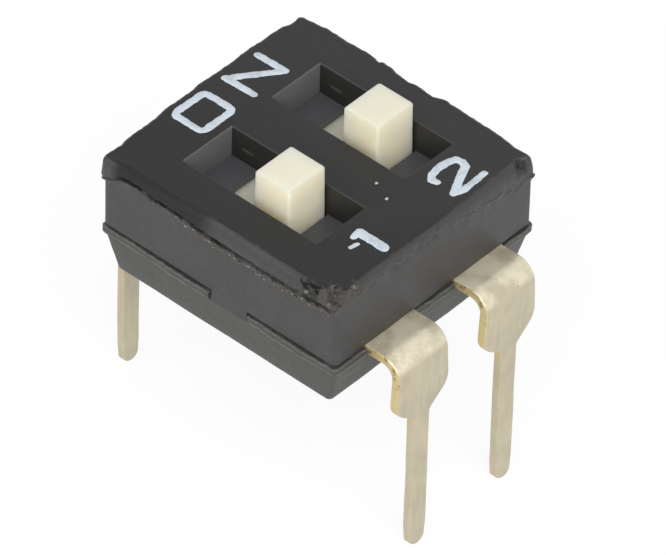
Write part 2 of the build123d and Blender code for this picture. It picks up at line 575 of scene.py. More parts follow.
        # Painted light: end walls facing -Y lighter.
        colour = mix(at.ny.step(-0.5, -0.9) * inner, colour, self.end)
        # Painted shade: far walls facing -X darker.
        far = at.nx.step(-0.5, -0.9) * inner
        colour = mix(far, colour, self.far_wall_shade)
        # Painted highlight: a line halfway down the far walls.
        line = abs(at.z - self.face_z + 0.42).step(0.050, 0.015) * abs(at.y - 1.36).step(0.18, 0.10)
        return mix(far * line * 0.8, colour, self.highlight_line)

    def flash(self, at: Spread, body: Wire) -> tuple[Wire, Wire]:
        """The torn flash: rolled over above its line, pale below it, with painted shade in the crevice
        between, and a painted highlight along the lip on the -Y side.

        Args:
            at: The point on the piece.
            body: The colour so far.

        Returns:
            The colour, and 1 where the surface is torn.
        """
        mix, patch, fine = at.shader.mix, at.patch, at.fine
        left, level = self.skin(at, Side.MINUS_X), self.height(at)
        ragged = level + (patch - 0.5) * 0.12 + (fine - 0.5) * 0.06
        rolled = ragged.step(0.03, 0.06) * left * at.y.step(0.0, 0.6) * at.y.step(2.8, 2.5)
        body = mix(rolled * 0.95, body, self.face)
        # Painted highlight along the lip on the -Y side.
        lip = abs(level + (patch - 0.5) * 0.10).step(0.050, 0.010) * self.skin(at, Side.MINUS_Y)
        body = mix(lip * fine.step(0.35, 0.60) * 0.5, body, self.highlight_line)
        scar = self.broken(at, at.z + (patch - 0.5) * 0.3, self.scars)
        below = ragged.step(-0.34, -0.14) * ragged.step(0.03, -0.01) * left
        torn = (below * patch.step(0.44, 0.56) + scar * (0.35 + 0.65 * fine.step(0.40, 0.60))).clamp()
        body = mix(torn * 0.55, body, self.torn)
        pale = (ragged.step(-0.26, -0.10) * ragged.step(0.015, -0.01) * left + scar * 0.8).clamp()
        body = mix(pale * fine.step(0.54, 0.68) * patch.step(0.36, 0.54) * 0.6, body, self.pale)
        # Painted shade in the crevice under the slab.
        crevice = ragged.step(-0.01, 0.012) * ragged.step(0.09, 0.05) * left
        return mix(crevice * patch.step(0.30, 0.44), body, self.deep_shade), (torn + rolled).clamp()

    def cast_shade(self, at: Spread, body: Wire) -> Wire:
        """Painted shade in the chipped pits of the slab's edge, and painted olive shadows beside the legs.

        Args:
            at: The point on the piece.
            body: The colour so far.

        Returns:
            The colour.
        """
        # Painted shade inside the chipped pits.
        body = at.shader.mix(self.broken(at, at.z, self.pits) * 0.9, body, self.deep_shade)
        front = self.skin(at, Side.MINUS_Y)
        # Painted olive shadow to the -X side of each leg.
        for x, z in self.leg_shadows:
            spread = abs(at.x - x).step(0.42, 0.05) * (at.z - z).step(0.45, 0.0) * front
            body = at.shader.mix(spread * at.patch.step(0.25, 0.55) * 0.7, body, self.leg_shadow)
        return body


@dataclass(frozen=True)
class IvoryPlastic(Finish):
    """Unfilled ivory plastic: lets a little light in, warmer low down, with faint flow marks."""

    base: Colour = (0.895, 0.838, 0.660)
    warm: Colour = (0.955, 0.842, 0.610)
    # Painted shade: the top is darker than the sides.
    top: Colour = (0.790, 0.762, 0.628)
    # Painted shade on the rounded rim, against its highlight.
    rim: Colour = (0.640, 0.610, 0.495)
    low_z: float = 6.3
    high_z: float = 7.3
    roughness: float = 0.50

    def paint(self, shader: Shader) -> None:
        """Warms the sides towards the foot, and paints the top and its rounded rim darker than the sides as
        painted shade.

        Args:
            shader: The material.
        """
        place = shader.place()
        flow, fine = shader.mottle(place, 1.6, 2.0), shader.mottle(place, 22.0, 3.0)
        low = shader.axes(place)[2].step(self.high_z, self.low_z)
        upward = shader.facing()[2]
        body = shader.mix((low * 0.6 + flow.step(0.4, 0.75) * 0.4).clamp(), self.base, self.warm)
        # Painted shade on upward faces.
        body = shader.mix(upward.step(0.03, 0.22), body, self.top)
        # Painted shade on the rounded rim.
        rim = upward.step(0.12, 0.35) * upward.step(0.995, 0.94) * 0.75
        shader.set(Base_Color=shader.mix(rim, body, self.rim))
        shader.set(Roughness=fine * 0.14 + self.roughness, Specular_IOR_Level=0.3)
        shader.set(Normal=shader.bump(fine, 0.0022, shader.bump(flow, 0.012)))
        shader.set(Subsurface_Weight=0.70, Subsurface_Radius=(1.0, 0.8, 0.5), Subsurface_Scale=0.00055)


@dataclass(frozen=True)
class PlatedSheet(Finish):
    """Plated strip metal: pale and satin on its faces, with bare yellow metal on the cut sides.

    Attributes:
        plate, dull, upward_highlight: The plating, where it is dull, and the painted highlight on its upward
            faces.
        glint, side_shade, bare: Painted glints on the bend, painted shade in specks on the cut sides near the
            housing, and bare metal on the cut sides.
        cut_z: Heights between which the cut sides go from plated to bare.
        side_shade_z: Heights above which the cut sides take that painted shade.
    """

    plate: Colour = (0.562, 0.504, 0.368)
    dull: Colour = (0.485, 0.428, 0.312)
    # Painted highlight on upward faces.
    upward_highlight: Colour = (0.810, 0.745, 0.575)
    # Painted glints on the bend.
    glint: Colour = (0.960, 0.930, 0.820)
    # Painted shade on the cut sides near the housing.
    side_shade: Colour = (0.130, 0.095, 0.045)
    bare: Colour = (0.660, 0.510, 0.220)
    roughness: float = 0.24
    cut_z: tuple[float, float] = (3.3, 3.6)
    side_shade_z: tuple[float, float] = (4.45, 4.70)

    def paint(self, shader: Shader) -> None:
        """Streaks the plating, paints a highlight on its upward faces and glints on the bend, paints shade
        near the housing and bares the cut sides.

        Args:
            shader: The material.
        """
        place = shader.place()
        z = shader.axes(place)[2]
        across, _, upward = shader.facing()
        side = abs(across).step(0.35, 0.80)
        streak = shader.mottle(shader.drawn((1.0, 1.0, 0.16)), 9.0, 4.0, 0.6)
        cloud, spots = shader.mottle(place, 1.7, 3.0), shader.mottle(place, 8.0, 2.0)
        pits = shader.mottle(place, 26.0, 3.0, 0.65)
        colour = shader.mix((streak * 0.5 + cloud * 0.6).step(0.42, 0.75), self.plate, self.dull)
        # Painted highlight on upward faces.
        upper = upward.step(0.15, 0.60) * (pits * 0.15 + cloud * 0.85).step(0.34, 0.56)
        colour = shader.mix(upper, colour, self.upward_highlight)
        cut = side * (z + cloud * 0.3).step(*self.cut_z) * (0.3 + 0.7 * pits.step(0.40, 0.55))
        colour = shader.mix(cut, colour, self.bare)
        # Painted glints on the bend.
        bend = upward.step(0.30, 0.50) * upward.step(0.98, 0.92)
        colour = shader.mix(bend * spots.step(0.68, 0.72) * 0.7, colour, self.glint)
        # Painted shade in specks on the cut sides near the housing.
        colour = shader.mix(side * z.step(*self.side_shade_z) * spots.step(0.48, 0.40) * 0.65, colour, self.side_shade)
        strip = side * z.step(3.5, 3.3) * cloud.step(0.45, 0.60)
        shader.set(Base_Color=shader.mix(strip * 0.15, colour, self.bare), Metallic=0.55)
        shader.set(Roughness=(pits * 0.22 + streak * 0.12 + self.roughness).clamp())
        shader.set(Normal=shader.bump(pits, 0.004, shader.bump(cloud, 0.02)))


@dataclass(frozen=True)
class SpringMetal(Finish):
    """Bright rolled spring strip with a faint rolling grain."""

    light: Colour = (0.800, 0.660, 0.420)
    dark: Colour = (0.640, 0.500, 0.300)

    def paint(self, shader: Shader) -> None:
        """Streaks the metal along its grain.

        Args:
            shader: The material.
        """
        streak = shader.mottle(shader.drawn((9.0, 0.8, 1.0)), 3.0, 4.0, 0.6)
        shader.set(Base_Color=shader.mix(streak, self.light, self.dark), Metallic=1.0)
        shader.set(Roughness=streak * 0.2 + 0.2, Normal=shader.bump(streak, 0.002))


@dataclass(frozen=True)
class PrintInk(Finish):
    """Pad-printed white ink: chalky, a little blue, thin and grey where it is worn."""

    full: Colour = (0.600, 0.670, 0.750)
    thin: Colour = (0.440, 0.485, 0.530)

    def paint(self, shader: Shader) -> None:
        """Thins the ink in clouds.

        Args:
            shader: The material.
        """
        place = shader.place()
        cloud, fine = shader.mottle(place, 5.0, 4.0, 0.6), shader.mottle(place, 30.0, 3.0, 0.6)
        shader.set(Base_Color=shader.mix(cloud.step(0.42, 0.72) * 0.8, self.full, self.thin))
        shader.set(Roughness=fine * 0.25 + 0.5, Normal=shader.bump(fine, 0.004))


@dataclass(frozen=True)
class PaleSpeck(Finish):
    """Torn or dusty grains: matte, grey to straw-coloured."""

    light: Colour = (0.210, 0.195, 0.165)
    dark: Colour = (0.060, 0.052, 0.044)

    def paint(self, shader: Shader) -> None:
        """Varies the tone from grain to grain.

        Args:
            shader: The material.
        """
        share = shader.mottle(shader.place(), 7.0, 3.0).step(0.35, 0.65)
        shader.set(Base_Color=shader.mix(share, self.light, self.dark), Roughness=0.62)


# Mesh building


@dataclass(frozen=True)
class Station:
    """One place on a housing outline: where it is, which way is out, and where that lies on its side."""

    x: float
    y: float
    out_x: float
    out_y: float
    side: Side
    along: float
    turn: float = 0.0


Wander = Callable[[Station], tuple[float, float]]


@dataclass(frozen=True)
class Outline:
    """Rounded rectangle about a centre, walked anticlockwise."""

    half_x: float
    half_y: float
    corner: float
    step: float = 0.04
    corner_steps: int = 6
    centre: tuple[float, float] = (0.0, 0.0)

    def stations(self, out_x: float = 0.0, out_y: float = 0.0) -> list[Station]:
        """Places along the four sides and round the four corners.

        Args:
            out_x: How far the outline has grown on its X sides; the corners keep their radius.
            out_y: The same on its Y sides.

        Returns:
            The same number of stations for any growth.
        """
        found: list[Station] = []
        flat_x, flat_y = self.half_x - self.corner, self.half_y - self.corner
        for side in Side:
            nx, ny = side.outward()
            reach = abs(nx) * (self.half_x + out_x) + abs(ny) * (self.half_y + out_y)
            run = abs(ny) * flat_x + abs(nx) * flat_y
            grown = run + abs(ny) * out_x + abs(nx) * out_y
            count = max(1, math.ceil(2 * run / self.step))
            for i in range(count + 1):
                share = 2 * i / count - 1
                along = (nx - ny) * run * share
                x, y = nx * reach - ny * grown * share, ny * reach + nx * grown * share
                found.append(Station(x, y, nx, ny, side, along))
            middle_x, middle_y = (flat_x + out_x) * (nx - ny), (flat_y + out_y) * (ny + nx)
            for i in range(1, self.corner_steps):
                share = i / self.corner_steps
                angle = (side.value + share) * math.pi / 2
                nx_here, ny_here = math.cos(angle), math.sin(angle)
                x, y = middle_x + self.corner * nx_here, middle_y + self.corner * ny_here
                found.append(Station(x, y, nx_here, ny_here, side, along, share))
        return found

    def ring(
        self, z: float, out_x: float = 0.0, out_y: float = 0.0, wander: Wander | None = None
    ) -> list[Point]:
        """The outline at a height.

        Args:
            z: The height.
            out_x: Growth on the X sides.
            out_y: Growth on the Y sides.
            wander: Gives a station's further move outwards and upwards.

        Returns:
            One point for each station.
        """
        points = []
        for s in self.stations(out_x, out_y):
            out, lift = wander(s) if wander else (0.0, 0.0)
            x, y = self.centre[0] + s.x + s.out_x * out, self.centre[1] + s.y + s.out_y * out
            points.append((x, y, z + lift))
        return points


@dataclass
class Skin:
    """A mesh under construction, in millimetres."""

    points: list[Point] = field(default_factory=list)
    faces: list[tuple[int, ...]] = field(default_factory=list)

    def loft(self, rings: Sequence[Sequence[Point]]) -> None:
        """Joins rings of equal length by quads and caps both ends.

        Args:
            rings: Two or more rings, from one cap to the other.
        """
        first, size = len(self.points), len(rings[0])
        for ring in rings:
            self.points.extend(ring)
        last = first + (len(rings) - 1) * size
        for low in range(first, last, size):
            for i in range(size):
                j = (i + 1) % size
                self.faces.append((low + i, low + j, low + size + j, low + size + i))
        self.faces.append(tuple(reversed(range(first, first + size))))
        self.faces.append(tuple(range(last, last + size)))

    def make(self, name: str, smooth_to: float = 38.0) -> bpy.types.Object:
        """Turns the mesh into an object.

        Args:
            name: The piece's name.
            smooth_to: The largest angle in degrees that is still shaded as one surface.

        Returns:
            The object, linked to the scene.
        """
        mesh = bpy.data.meshes.new(name)
        mesh.from_pydata([tuple(c * MM for c in p) for p in self.points], [], self.faces)
        piece = link(name, mesh)
        settle(piece, smooth_to)
        return piece


def link(name: str, mesh: bpy.types.Mesh) -> bpy.types.Object:
    """Puts a mesh into the scene.

    Args:
        name: The object's name.
        mesh: Its mesh.

    Returns:
        The object.
    """
    piece = bpy.data.objects.new(name, mesh)
    bpy.context.scene.collection.objects.link(piece)
    return piece


def settle(piece: bpy.types.Object, smooth_to: float) -> None:
    """Points a piece's faces outwards and marks its sharp edges.

    Args:
        piece: A closed mesh.
        smooth_to: The largest angle in degrees that is still shaded as one surface.
    """
    work = bmesh.new()
    work.from_mesh(piece.data)
    bmesh.ops.recalc_face_normals(work, faces=work.faces)
    work.to_mesh(piece.data)
    work.free()
    piece.data.shade_smooth()
    piece.data.set_sharp_from_angle(angle=math.radians(smooth_to))


def finished(name: str, work: bmesh.types.BMesh, smooth_to: float) -> bpy.types.Object:
    """Turns a mesh that is being edited into an object, and frees it.

    Args:
        name: The object's name.
        work: The edited mesh.
        smooth_to: The largest angle in degrees that is still shaded as one surface.

    Returns:
        The object, linked to the scene.
    """
    mesh = bpy.data.meshes.new(name)
    work.to_mesh(mesh)
    work.free()
    piece = link(name, mesh)
    settle(piece, smooth_to)
    return piece


def combine(piece: bpy.types.Object, others: Sequence[bpy.types.Object], cut: Cut) -> None:
    """Cuts solids out of a piece or joins them to it.

    Args:
        piece: The piece, whose mesh is replaced.
        others: The solids, which are removed afterwards.
        cut: Which of the two it does.
    """
    for other in others:
        step = piece.modifiers.new(other.name, "BOOLEAN")
        step.operation = cut.value
        step.solver = "EXACT"
        step.object = other
    bpy.context.view_layer.update()
    shaped = piece.evaluated_get(bpy.context.evaluated_depsgraph_get())
    mesh = bpy.data.meshes.new_from_object(shaped)
    piece.modifiers.clear()
    piece.data = mesh
    for other in others:
        bpy.data.objects.remove(other)


def brick(name: str, low: Point, high: Point, corner: float = 0.0, flare: float = 0.0) -> bpy.types.Object:
    """Upright block between two corners, in millimetres.

    Args:
        name: The object's name.
        low: Its lowest corner.
        high: Its highest corner.
        corner: Radius of its upright edges.
        flare: How far its rim opens outwards just below the top, as on a recess's mouth.

    Returns:
        The block.
    """
    centre = ((low[0] + high[0]) / 2, (low[1] + high[1]) / 2)
    outline = Outline((high[0] - low[0]) / 2, (high[1] - low[1]) / 2, max(corner, 0.001), 9.0, 5, centre)
    levels = [(low[2], 0.0), (high[2], 0.0)]
    if flare:
        levels = [(low[2], 0.0)]
        for i in range(6):
            angle = math.radians(18 * i)
            levels.append((high[2] - flare + flare * math.sin(angle), flare * (1 - math.cos(angle))))
        levels.append((high[2] + 3 * LAP, flare))
    skin = Skin()
    skin.loft([outline.ring(z, out, out) for z, out in levels])
    return skin.make(name)


def lump(name: str, centre: Point, size: Point, seed: float, rough: float = 0.35) -> bpy.types.Object:
    """Irregular rounded lump, used as a grain or to bite a chip out of an edge.

    Args:
        name: The object's name.
        centre: Its middle, in millimetres.
        size: Its half sizes.
        seed: A number that sets its own shape.
        rough: How uneven it is, as a share of its size.

    Returns:
        The lump.
    """
    work = bmesh.new()
    bmesh.ops.create_icosphere(work, subdivisions=3, radius=1.0)
    for vertex in work.verts:
        uneven = 1 + rough * noise.noise(vertex.co * 1.7 + Vector((seed, -seed, seed * 0.5)))
        uneven += rough * 0.5 * noise.noise(vertex.co * 4.1 + Vector((seed, seed, 1.0)))
        vertex.co = Vector([(c + s * v * uneven) * MM for c, s, v in zip(centre, size, vertex.co)])
    return finished(name, work, smooth_to=50.0)


def grains(name: str, places: Sequence[tuple[Point, Point]]) -> bpy.types.Object:
    """Several small lumps as one piece.

    Args:
        name: The piece's name.
        places: The middle and half sizes of each lump.

    Returns:
        The piece.
    """
    lumps = [lump(f"{name}_{i}", middle, size, 3.7 * i) for i, (middle, size) in enumerate(places)]
    work = bmesh.new()
    for one in lumps:
        work.from_mesh(one.data)
        bpy.data.objects.remove(one)
    return finished(name, work, smooth_to=50.0)


def dress(piece: bpy.types.Object, material: bpy.types.Material, body: str, slot: str, *nodes: str) -> None:
    """Gives a piece its finish, hangs it on its body, hides the CAD nodes that it stands for, and reports it.
    Gives a piece all that the frame asks of it, and reports it.

    Args:
        piece: The piece.
        material: Its finish.
        body: The body that it rides on.
        slot: Its material slot; not used.
        *nodes: The CAD nodes that it stands for.
    """
    piece.data.materials.clear()
    piece.data.materials.append(material)
    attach(piece, body)
    if nodes:
        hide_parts(*nodes)
    LOG.info("%s rides on %s, %d faces", piece.name, body, len(piece.data.polygons))


def fillet(corners: Sequence[tuple[float, float, float]], steps: int = 6) -> list[tuple[float, float]]:
    """Rounds the corners of an open line.

    Args:
        corners: Each corner's two coordinates and its radius.
        steps: Segments in each arc.

    Returns:
        The points of the rounded line.
    """
    points = [corners[0][:2]]
    for before, here, after in zip(corners, corners[1:], corners[2:]):
        middle = Vector(here[:2])
        back = (Vector(before[:2]) - middle).normalized()
        ahead = (Vector(after[:2]) - middle).normalized()
        half = back.angle(ahead) / 2
        reach = here[2] / math.tan(half)
        start, end = middle + back * reach, middle + ahead * reach
        centre = middle + (back + ahead).normalized() * here[2] / math.sin(half)
        for i in range(steps + 1):
            spoke = (start - centre).lerp(end - centre, i / steps).normalized() * here[2]
            points.append(tuple(centre + spoke))
    points.append(corners[-1][:2])
    return points


# The housing


@dataclass(frozen=True)
class Level:
    """One height of a moulded wall: how far it stands out, and how much of each unevenness it takes."""

    z: float
    out_x: float
    out_y: float
    drift: float = 0.0
    rag: float = 0.0
    drop: float = 0.0
    crack: float = 0.0
    bevel: float = 0.0


@dataclass(frozen=True)
class Unevenness:
    """How the real edge wanders: drawn profiles along each side, and ragged noise.

    Attributes:
        drift: How far the edge stands out.
        drop: How far the rim has risen.
        crack: Depth of the crevice behind the torn flash.
        bevel: Wear of the top edge.
    """

    drift: dict[Side, Profile]
    drop: dict[Side, Profile] = field(default_factory=dict)
    crack: dict[Side, Profile] = field(default_factory=dict)
    bevel: dict[Side, Profile] = field(default_factory=dict)
    rag_depth: float = 0.030
    rag_scale: float = 3.2

    def _read(self, tables: dict[Side, Profile], s: Station) -> float:
        """Reads a profile at a station.

        Args:
            tables: The profiles of the four sides.
            s: The station.

        Returns:
            The value, which passes smoothly from side to side round a corner.
        """
        here = between(tables.get(s.side, FLAT), s.along)
        if s.turn == 0:
            return here
        follower = Side((s.side.value + 1) % len(Side))
        forward = follower in (Side.PLUS_X, Side.MINUS_Y)
        there = tables.get(follower, FLAT)[0 if forward else -1][1]
        return here + (there - here) * s.turn

    def move(self, s: Station, level: Level) -> tuple[float, float]:
        """How a station moves at one level.

        Args:
            s: The station.
            level: The level.

        Returns:
            Its move outwards and its move upwards.
        """
        coarse = grain(self.rag_scale, s.x, s.y, level.z * 0.7)
        rag = coarse + 0.8 * grain(self.rag_scale * 3.1, s.x, s.y, level.z)
        out = self._read(self.drift, s) * level.drift + rag * self.rag_depth * level.rag
        out -= self._read(self.crack, s) * level.crack * (1 + 0.8 * grain(6.0, s.x, s.y, level.z * 2))
        out -= self._read(self.bevel, s) * level.bevel * (1 + 0.5 * coarse)
        return out, self._read(self.drop, s) * level.drop + 0.35 * rag * self.rag_depth * level.rag

    def loft(self, outline: Outline, levels: Sequence[Level]) -> Skin:
        """Builds an uneven wall.

        Args:
            outline: The wall seen from above.
            levels: Its heights, from the lowest.

        Returns:
            The wall, closed at both ends.
        """
        rings = []
        for level in levels:
            wander = partial(self.move, level=level)
            rings.append(outline.ring(level.z, level.out_x, level.out_y, wander))
        skin = Skin()
        skin.loft(rings)
        return skin


@dataclass
class Cover:
    """The moulded top half: walls, overhanging slab with flash and chips, recesses, windows, channels.

    Attributes:
        corner: Radius of the housing's upright edges.
        slab, overhang: Thickness of the slab, and how far it stands out over the walls.
        recess_half, recess_shift, recess_depth, recess_mouth: The recess, and the flare of its rim.
        web: Thickness of the recess floor.
        window_half, channel_half: Half sizes of the openings, without the slider's travel.
        tongue_half, tongue_y, tongue_depth: The tongue on each end wall.
        recess_corner, opening_corner, tongue_corner: Radii of their upright edges.
        crumbs, crumb_reach: How many torn grains lie along the flash, and how far it runs.
        torn_corner, torn_size: Places and half sizes of the grains round the broken corner.
        bites: Middle and half sizes of each chip, as the photograph shows them.
        wander: How the edge of the slab wanders.
    """

    corner: float = 0.13
    slab: float = 0.42
    overhang: float = 0.06
    recess_half: tuple[float, float] = (0.69, 1.72)
    recess_shift: tuple[float, float] = (0.05, 0.065)
    recess_depth: float = 0.74
    recess_mouth: float = 0.035
    web: float = 0.14
    window_half: tuple[float, float] = (0.567, 0.497)
    channel_half: tuple[float, float] = (0.93, 1.507)
    tongue_half: float = 0.47
    tongue_y: float = -0.29
    tongue_depth: float = 0.34
    recess_corner: float = 0.03
    opening_corner: float = 0.02
    tongue_corner: float = 0.012
    crumbs: int = 34
    crumb_reach: float = 2.3
    torn_corner: tuple[Point, ...] = (
        (-2.90, -2.30, 6.72), (-2.74, -2.72, 6.76), (-2.50, -2.92, 6.80), (-2.30, -2.96, 6.84),
        (-2.86, -2.86, 6.70),
    )
    torn_size: Point = (0.040, 0.050, 0.035)
    bites: tuple[tuple[Point, Point], ...] = (
        ((-2.82, -2.36, 6.86), (0.13, 0.24, 0.15)),
        ((-2.92, -2.98, 6.98), (0.30, 0.42, 0.24)),
        ((-2.52, -3.08, 6.98), (0.44, 0.30, 0.20)),
        ((-2.62, -2.82, 6.95), (0.22, 0.16, 0.13)),
        ((-2.96, -3.12, 6.70), (0.14, 0.14, 0.16)),
        ((-3.06, 2.27, 6.70), (0.10, 0.06, 0.06)),
        ((-3.06, 2.00, 6.72), (0.11, 0.08, 0.05)),
        ((-3.04, 1.72, 6.69), (0.10, 0.12, 0.05)),
        ((-3.04, 1.40, 6.64), (0.11, 0.10, 0.06)),
        ((-3.00, 0.95, 6.58), (0.10, 0.12, 0.05)),
        ((-3.00, 0.45, 6.52), (0.10, 0.12, 0.05)),
        ((-2.98, 0.02, 6.50), (0.10, 0.16, 0.05)),
        ((2.50, -3.00, 6.86), (0.19, 0.065, 0.12)),
        ((2.99, -3.12, 6.84), (0.16, 0.16, 0.26)),
        ((2.96, 2.98, 6.85), (0.12, 0.13, 0.14)),
        ((-2.62, 3.12, 6.90), (0.22, 0.10, 0.10)),
        ((-2.96, 3.00, 6.90), (0.12, 0.12, 0.12)),
    )
    wander: Unevenness = field(default_factory=lambda: Unevenness(
        drift={
            Side.PLUS_X: (
                (-2.95, -0.03), (-2.6, -0.04), (-2.1, 0.01), (-0.88, 0.04), (-0.73, 0.06), (-0.56, 0.01),
                (-0.45, -0.04), (-0.05, 0.0), (0.2, -0.04), (0.5, -0.01), (0.7, 0.04), (0.92, 0.065),
                (1.0, 0.0), (1.15, 0.04), (1.4, 0.065), (1.9, 0.04), (2.35, 0.06), (2.6, 0.01), (2.95, -0.01),
            ),
            Side.PLUS_Y: (
                (-2.8, -0.02), (-2.4, -0.04), (-2.2, -0.01), (-1.5, 0.0), (-0.9, 0.05), (-0.3, 0.04),
                (0.1, 0.07), (0.9, 0.04), (1.4, 0.07), (2.3, 0.05), (2.55, -0.03), (2.8, 0.01),
            ),
            Side.MINUS_X: (
                (-2.95, -0.03), (-2.0, -0.01), (0.0, -0.03), (0.4, -0.02), (0.96, 0.02), (1.35, 0.05),
                (1.65, 0.07), (2.2, 0.06), (2.6, 0.05), (2.95, 0.04),
            ),
            Side.MINUS_Y: (
                (-2.8, -0.03), (-1.6, -0.07), (-0.17, -0.07), (0.9, -0.04), (1.7, -0.05), (2.5, -0.06),
                (2.8, -0.03),
            ),
        },
        drop={
            Side.PLUS_X: ((-2.95, -0.08), (2.95, 0.0)),
            Side.PLUS_Y: ((-2.8, -0.10), (-2.2, 0.02), (2.8, 0.0)),
            Side.MINUS_X: (
                (-2.95, 0.02), (0.0, -0.03), (1.49, 0.15), (1.98, 0.22), (2.35, 0.20), (2.72, 0.0),
                (2.95, -0.10),
            ),
            Side.MINUS_Y: ((-2.8, 0.18), (0.1, 0.22), (0.97, 0.10), (1.85, 0.02), (2.8, -0.10)),
        },
        crack={Side.MINUS_X: (
            (-2.95, 0.02), (-2.4, 0.05), (-1.5, 0.04), (-0.3, 0.06), (0.3, 0.11), (1.2, 0.10), (2.0, 0.12),
            (2.35, 0.06), (2.5, 0.0),
        )},
        bevel={
            Side.MINUS_X: (
                (-2.95, 0.04), (-2.6, 0.10), (-0.2, 0.09), (0.6, 0.06), (1.5, 0.09), (2.2, 0.08),
                (2.6, 0.05), (2.95, 0.03),
            ),
            Side.MINUS_Y: ((-2.8, 0.04), (-2.5, 0.11), (1.6, 0.10), (2.2, 0.13), (2.5, 0.11), (2.8, 0.04)),
            Side.PLUS_X: ((-2.95, 0.04), (-2.6, 0.05), (-2.2, 0.02), (2.95, 0.02)),
        },
        rag_depth=0.036,
    ))

    def levels(self, top_z: float) -> list[Level]:
        """Heights of the wall and the slab.

        Args:
            top_z: Height of the top face.

        Returns:
            The levels, from the parting plane to the top face.
        """
        low, rim, out = PLAN.parting_z, top_z - self.slab, self.overhang
        wall = (  # height, growth, drift, rag, drop
            (low, -0.02, 0.0, 0.1, 0.0), (low + 0.02, 0.0, 0.0, 0.12, 0.0), (5.4, 0.0, 0.0, 0.05, 0.0),
            (5.7, 0.0, 0.0, 0.04, 0.0), (6.0, 0.0, 0.0, 0.05, 0.1), (6.15, 0.0, 0.0, 0.1, 0.3),
            (rim - 0.17, 0.0, 0.03, 0.2, 0.75), (rim - 0.11, 0.004, 0.10, 0.4, 0.95),
            (rim - 0.06, 0.022, 0.45, 0.9, 1.0), (rim - 0.022, out - 0.010, 0.85, 1.25, 1.0),
            (rim, out, 1.0, 1.25, 1.0),
        )
        crevice = (  # height above the rim, growth, crack
            (0.018, -0.010, 0.7), (0.038, -0.018, 1.0), (0.060, -0.016, 0.6), (0.085, -0.012, 0.1),
        )
        slab = (  # share of the slab's height, growth, rag, bevel
            (0.25, -0.018, 0.5, 0.0), (0.50, -0.026, 0.35, 0.05), (0.68, -0.034, 0.35, 0.2),
            (0.80, -0.042, 0.35, 0.4), (0.90, -0.056, 0.4, 0.65), (0.965, -0.078, 0.4, 0.85),
            (1.0, -0.115, 0.4, 1.0), (1.0, -0.145, 0.4, 1.0),
        )
        made = [Level(z, grow, grow, drift, rag, drop) for z, grow, drift, rag, drop in wall]
        for above, grow, crack in crevice:
            made.append(Level(rim + above, out + grow, out + grow, 1.0, 0.9, 1.0, crack))
        foot = rim + crevice[-1][0]
        for share, grow, rag, bevel in slab:
            z = foot + share * (top_z - foot)
            made.append(Level(z, out + grow, out + grow, 1.0, rag * (share < 1), 1 - share, 0.0, bevel))
        return made

    def build(self, centres: Sequence[float], low_z: float, top_z: float) -> bpy.types.Object:
        """Builds the cover.

        Args:
            centres: X of each position.
            low_z: Height of the tongues' lower ends.
            top_z: Height of the top face.

        Returns:
            The piece.
        """
        outline = Outline(PLAN.half_x, PLAN.half_y, self.corner)
        cover = self.wander.loft(outline, self.levels(top_z)).make("cover_shell")
        combine(cover, self.tongues(low_z), Cut.ADD)
        combine(cover, self.openings(centres, top_z) + self.chips(), Cut.TAKE_AWAY)
        settle(cover, smooth_to=32.0)
        return cover

    def tongues(self, low_z: float) -> list[bpy.types.Object]:
        """The tongue on each end wall that laps over the base.

        Args:
            low_z: Height of their lower ends.

        Returns:
            The two blocks, which reach up into the walls.
        """
        made = []
        for end in (-1, 1):
            near, far = end * (PLAN.half_x - self.tongue_depth), end * PLAN.half_x
            low = (min(near, far), self.tongue_y - self.tongue_half, low_z)
            high = (max(near, far), self.tongue_y + self.tongue_half, PLAN.parting_z + 3 * LAP)
            made.append(brick("tongue", low, high, self.tongue_corner))
        return made

    def openings(self, centres: Sequence[float], top_z: float) -> list[bpy.types.Object]:
        """Cutters for the recess, window and slider channel of each position.

        Args:
            centres: X of each position.
            top_z: Height of the top face.

        Returns:
            The cutters, three for each position.
        """
        floor_z = top_z - self.recess_depth
        web_z = floor_z - self.web
        middle_y = PLAN.knob_y + PLAN.travel / 2
        made = []
        for x in centres:
            rx, ry = x + self.recess_shift[0], self.recess_shift[1]
            hx, hy = self.recess_half
            low, high = (rx - hx, ry - hy, floor_z), (rx + hx, ry + hy, top_z)
            made.append(brick("well", low, high, self.recess_corner, self.recess_mouth))
            sx = x + PLAN.slider_shift
            for name, half, low_z, high_z in (
                ("window", self.window_half, web_z - LAP, floor_z + LAP),
                ("channel", self.channel_half, PLAN.parting_z - LAP, web_z),
            ):
                hx, hy = half[0], half[1] + PLAN.travel / 2
                low, high = (sx - hx, middle_y - hy, low_z), (sx + hx, middle_y + hy, high_z)
                made.append(brick(name, low, high, self.opening_corner))
        return made

    def chips(self) -> list[bpy.types.Object]:
        """Lumps that bite the damage out of the slab's edge."""
        return [lump("bite", centre, size, 1.9 * i + 0.4, 0.6) for i, (centre, size) in enumerate(self.bites)]

    def flecks(self, rim_z: float) -> bpy.types.Object:
        """Torn crumbs along the flash on the -X side and round the broken corner.

        Args:
            rim_z: Height of the slab's lower edge.

        Returns:
            The piece.
        """
        places = []
        for i in range(self.crumbs):
            y = -self.crumb_reach + 2 * self.crumb_reach * (i + 1.6 * grain(3.1, i * 1.7, 0.3)) / self.crumbs
            below = 0.07 + 0.13 * grain(1.9, i * 2.3, 4.0)
            z = rim_z + between(self.wander.drop[Side.MINUS_X], y) - below
            x = -PLAN.half_x - 0.012 - max(0.0, 0.06 - below) * 0.8
            size = 0.020 + 0.018 * grain(2.7, i * 1.3, 9.0)
            places.append(((x, y, z), (size * 0.8, size * (1.6 + grain(1.1, i * 3.3)), size)))
        places += [(place, self.torn_size) for place in self.torn_corner]
        return grains("edge_flecks", places)


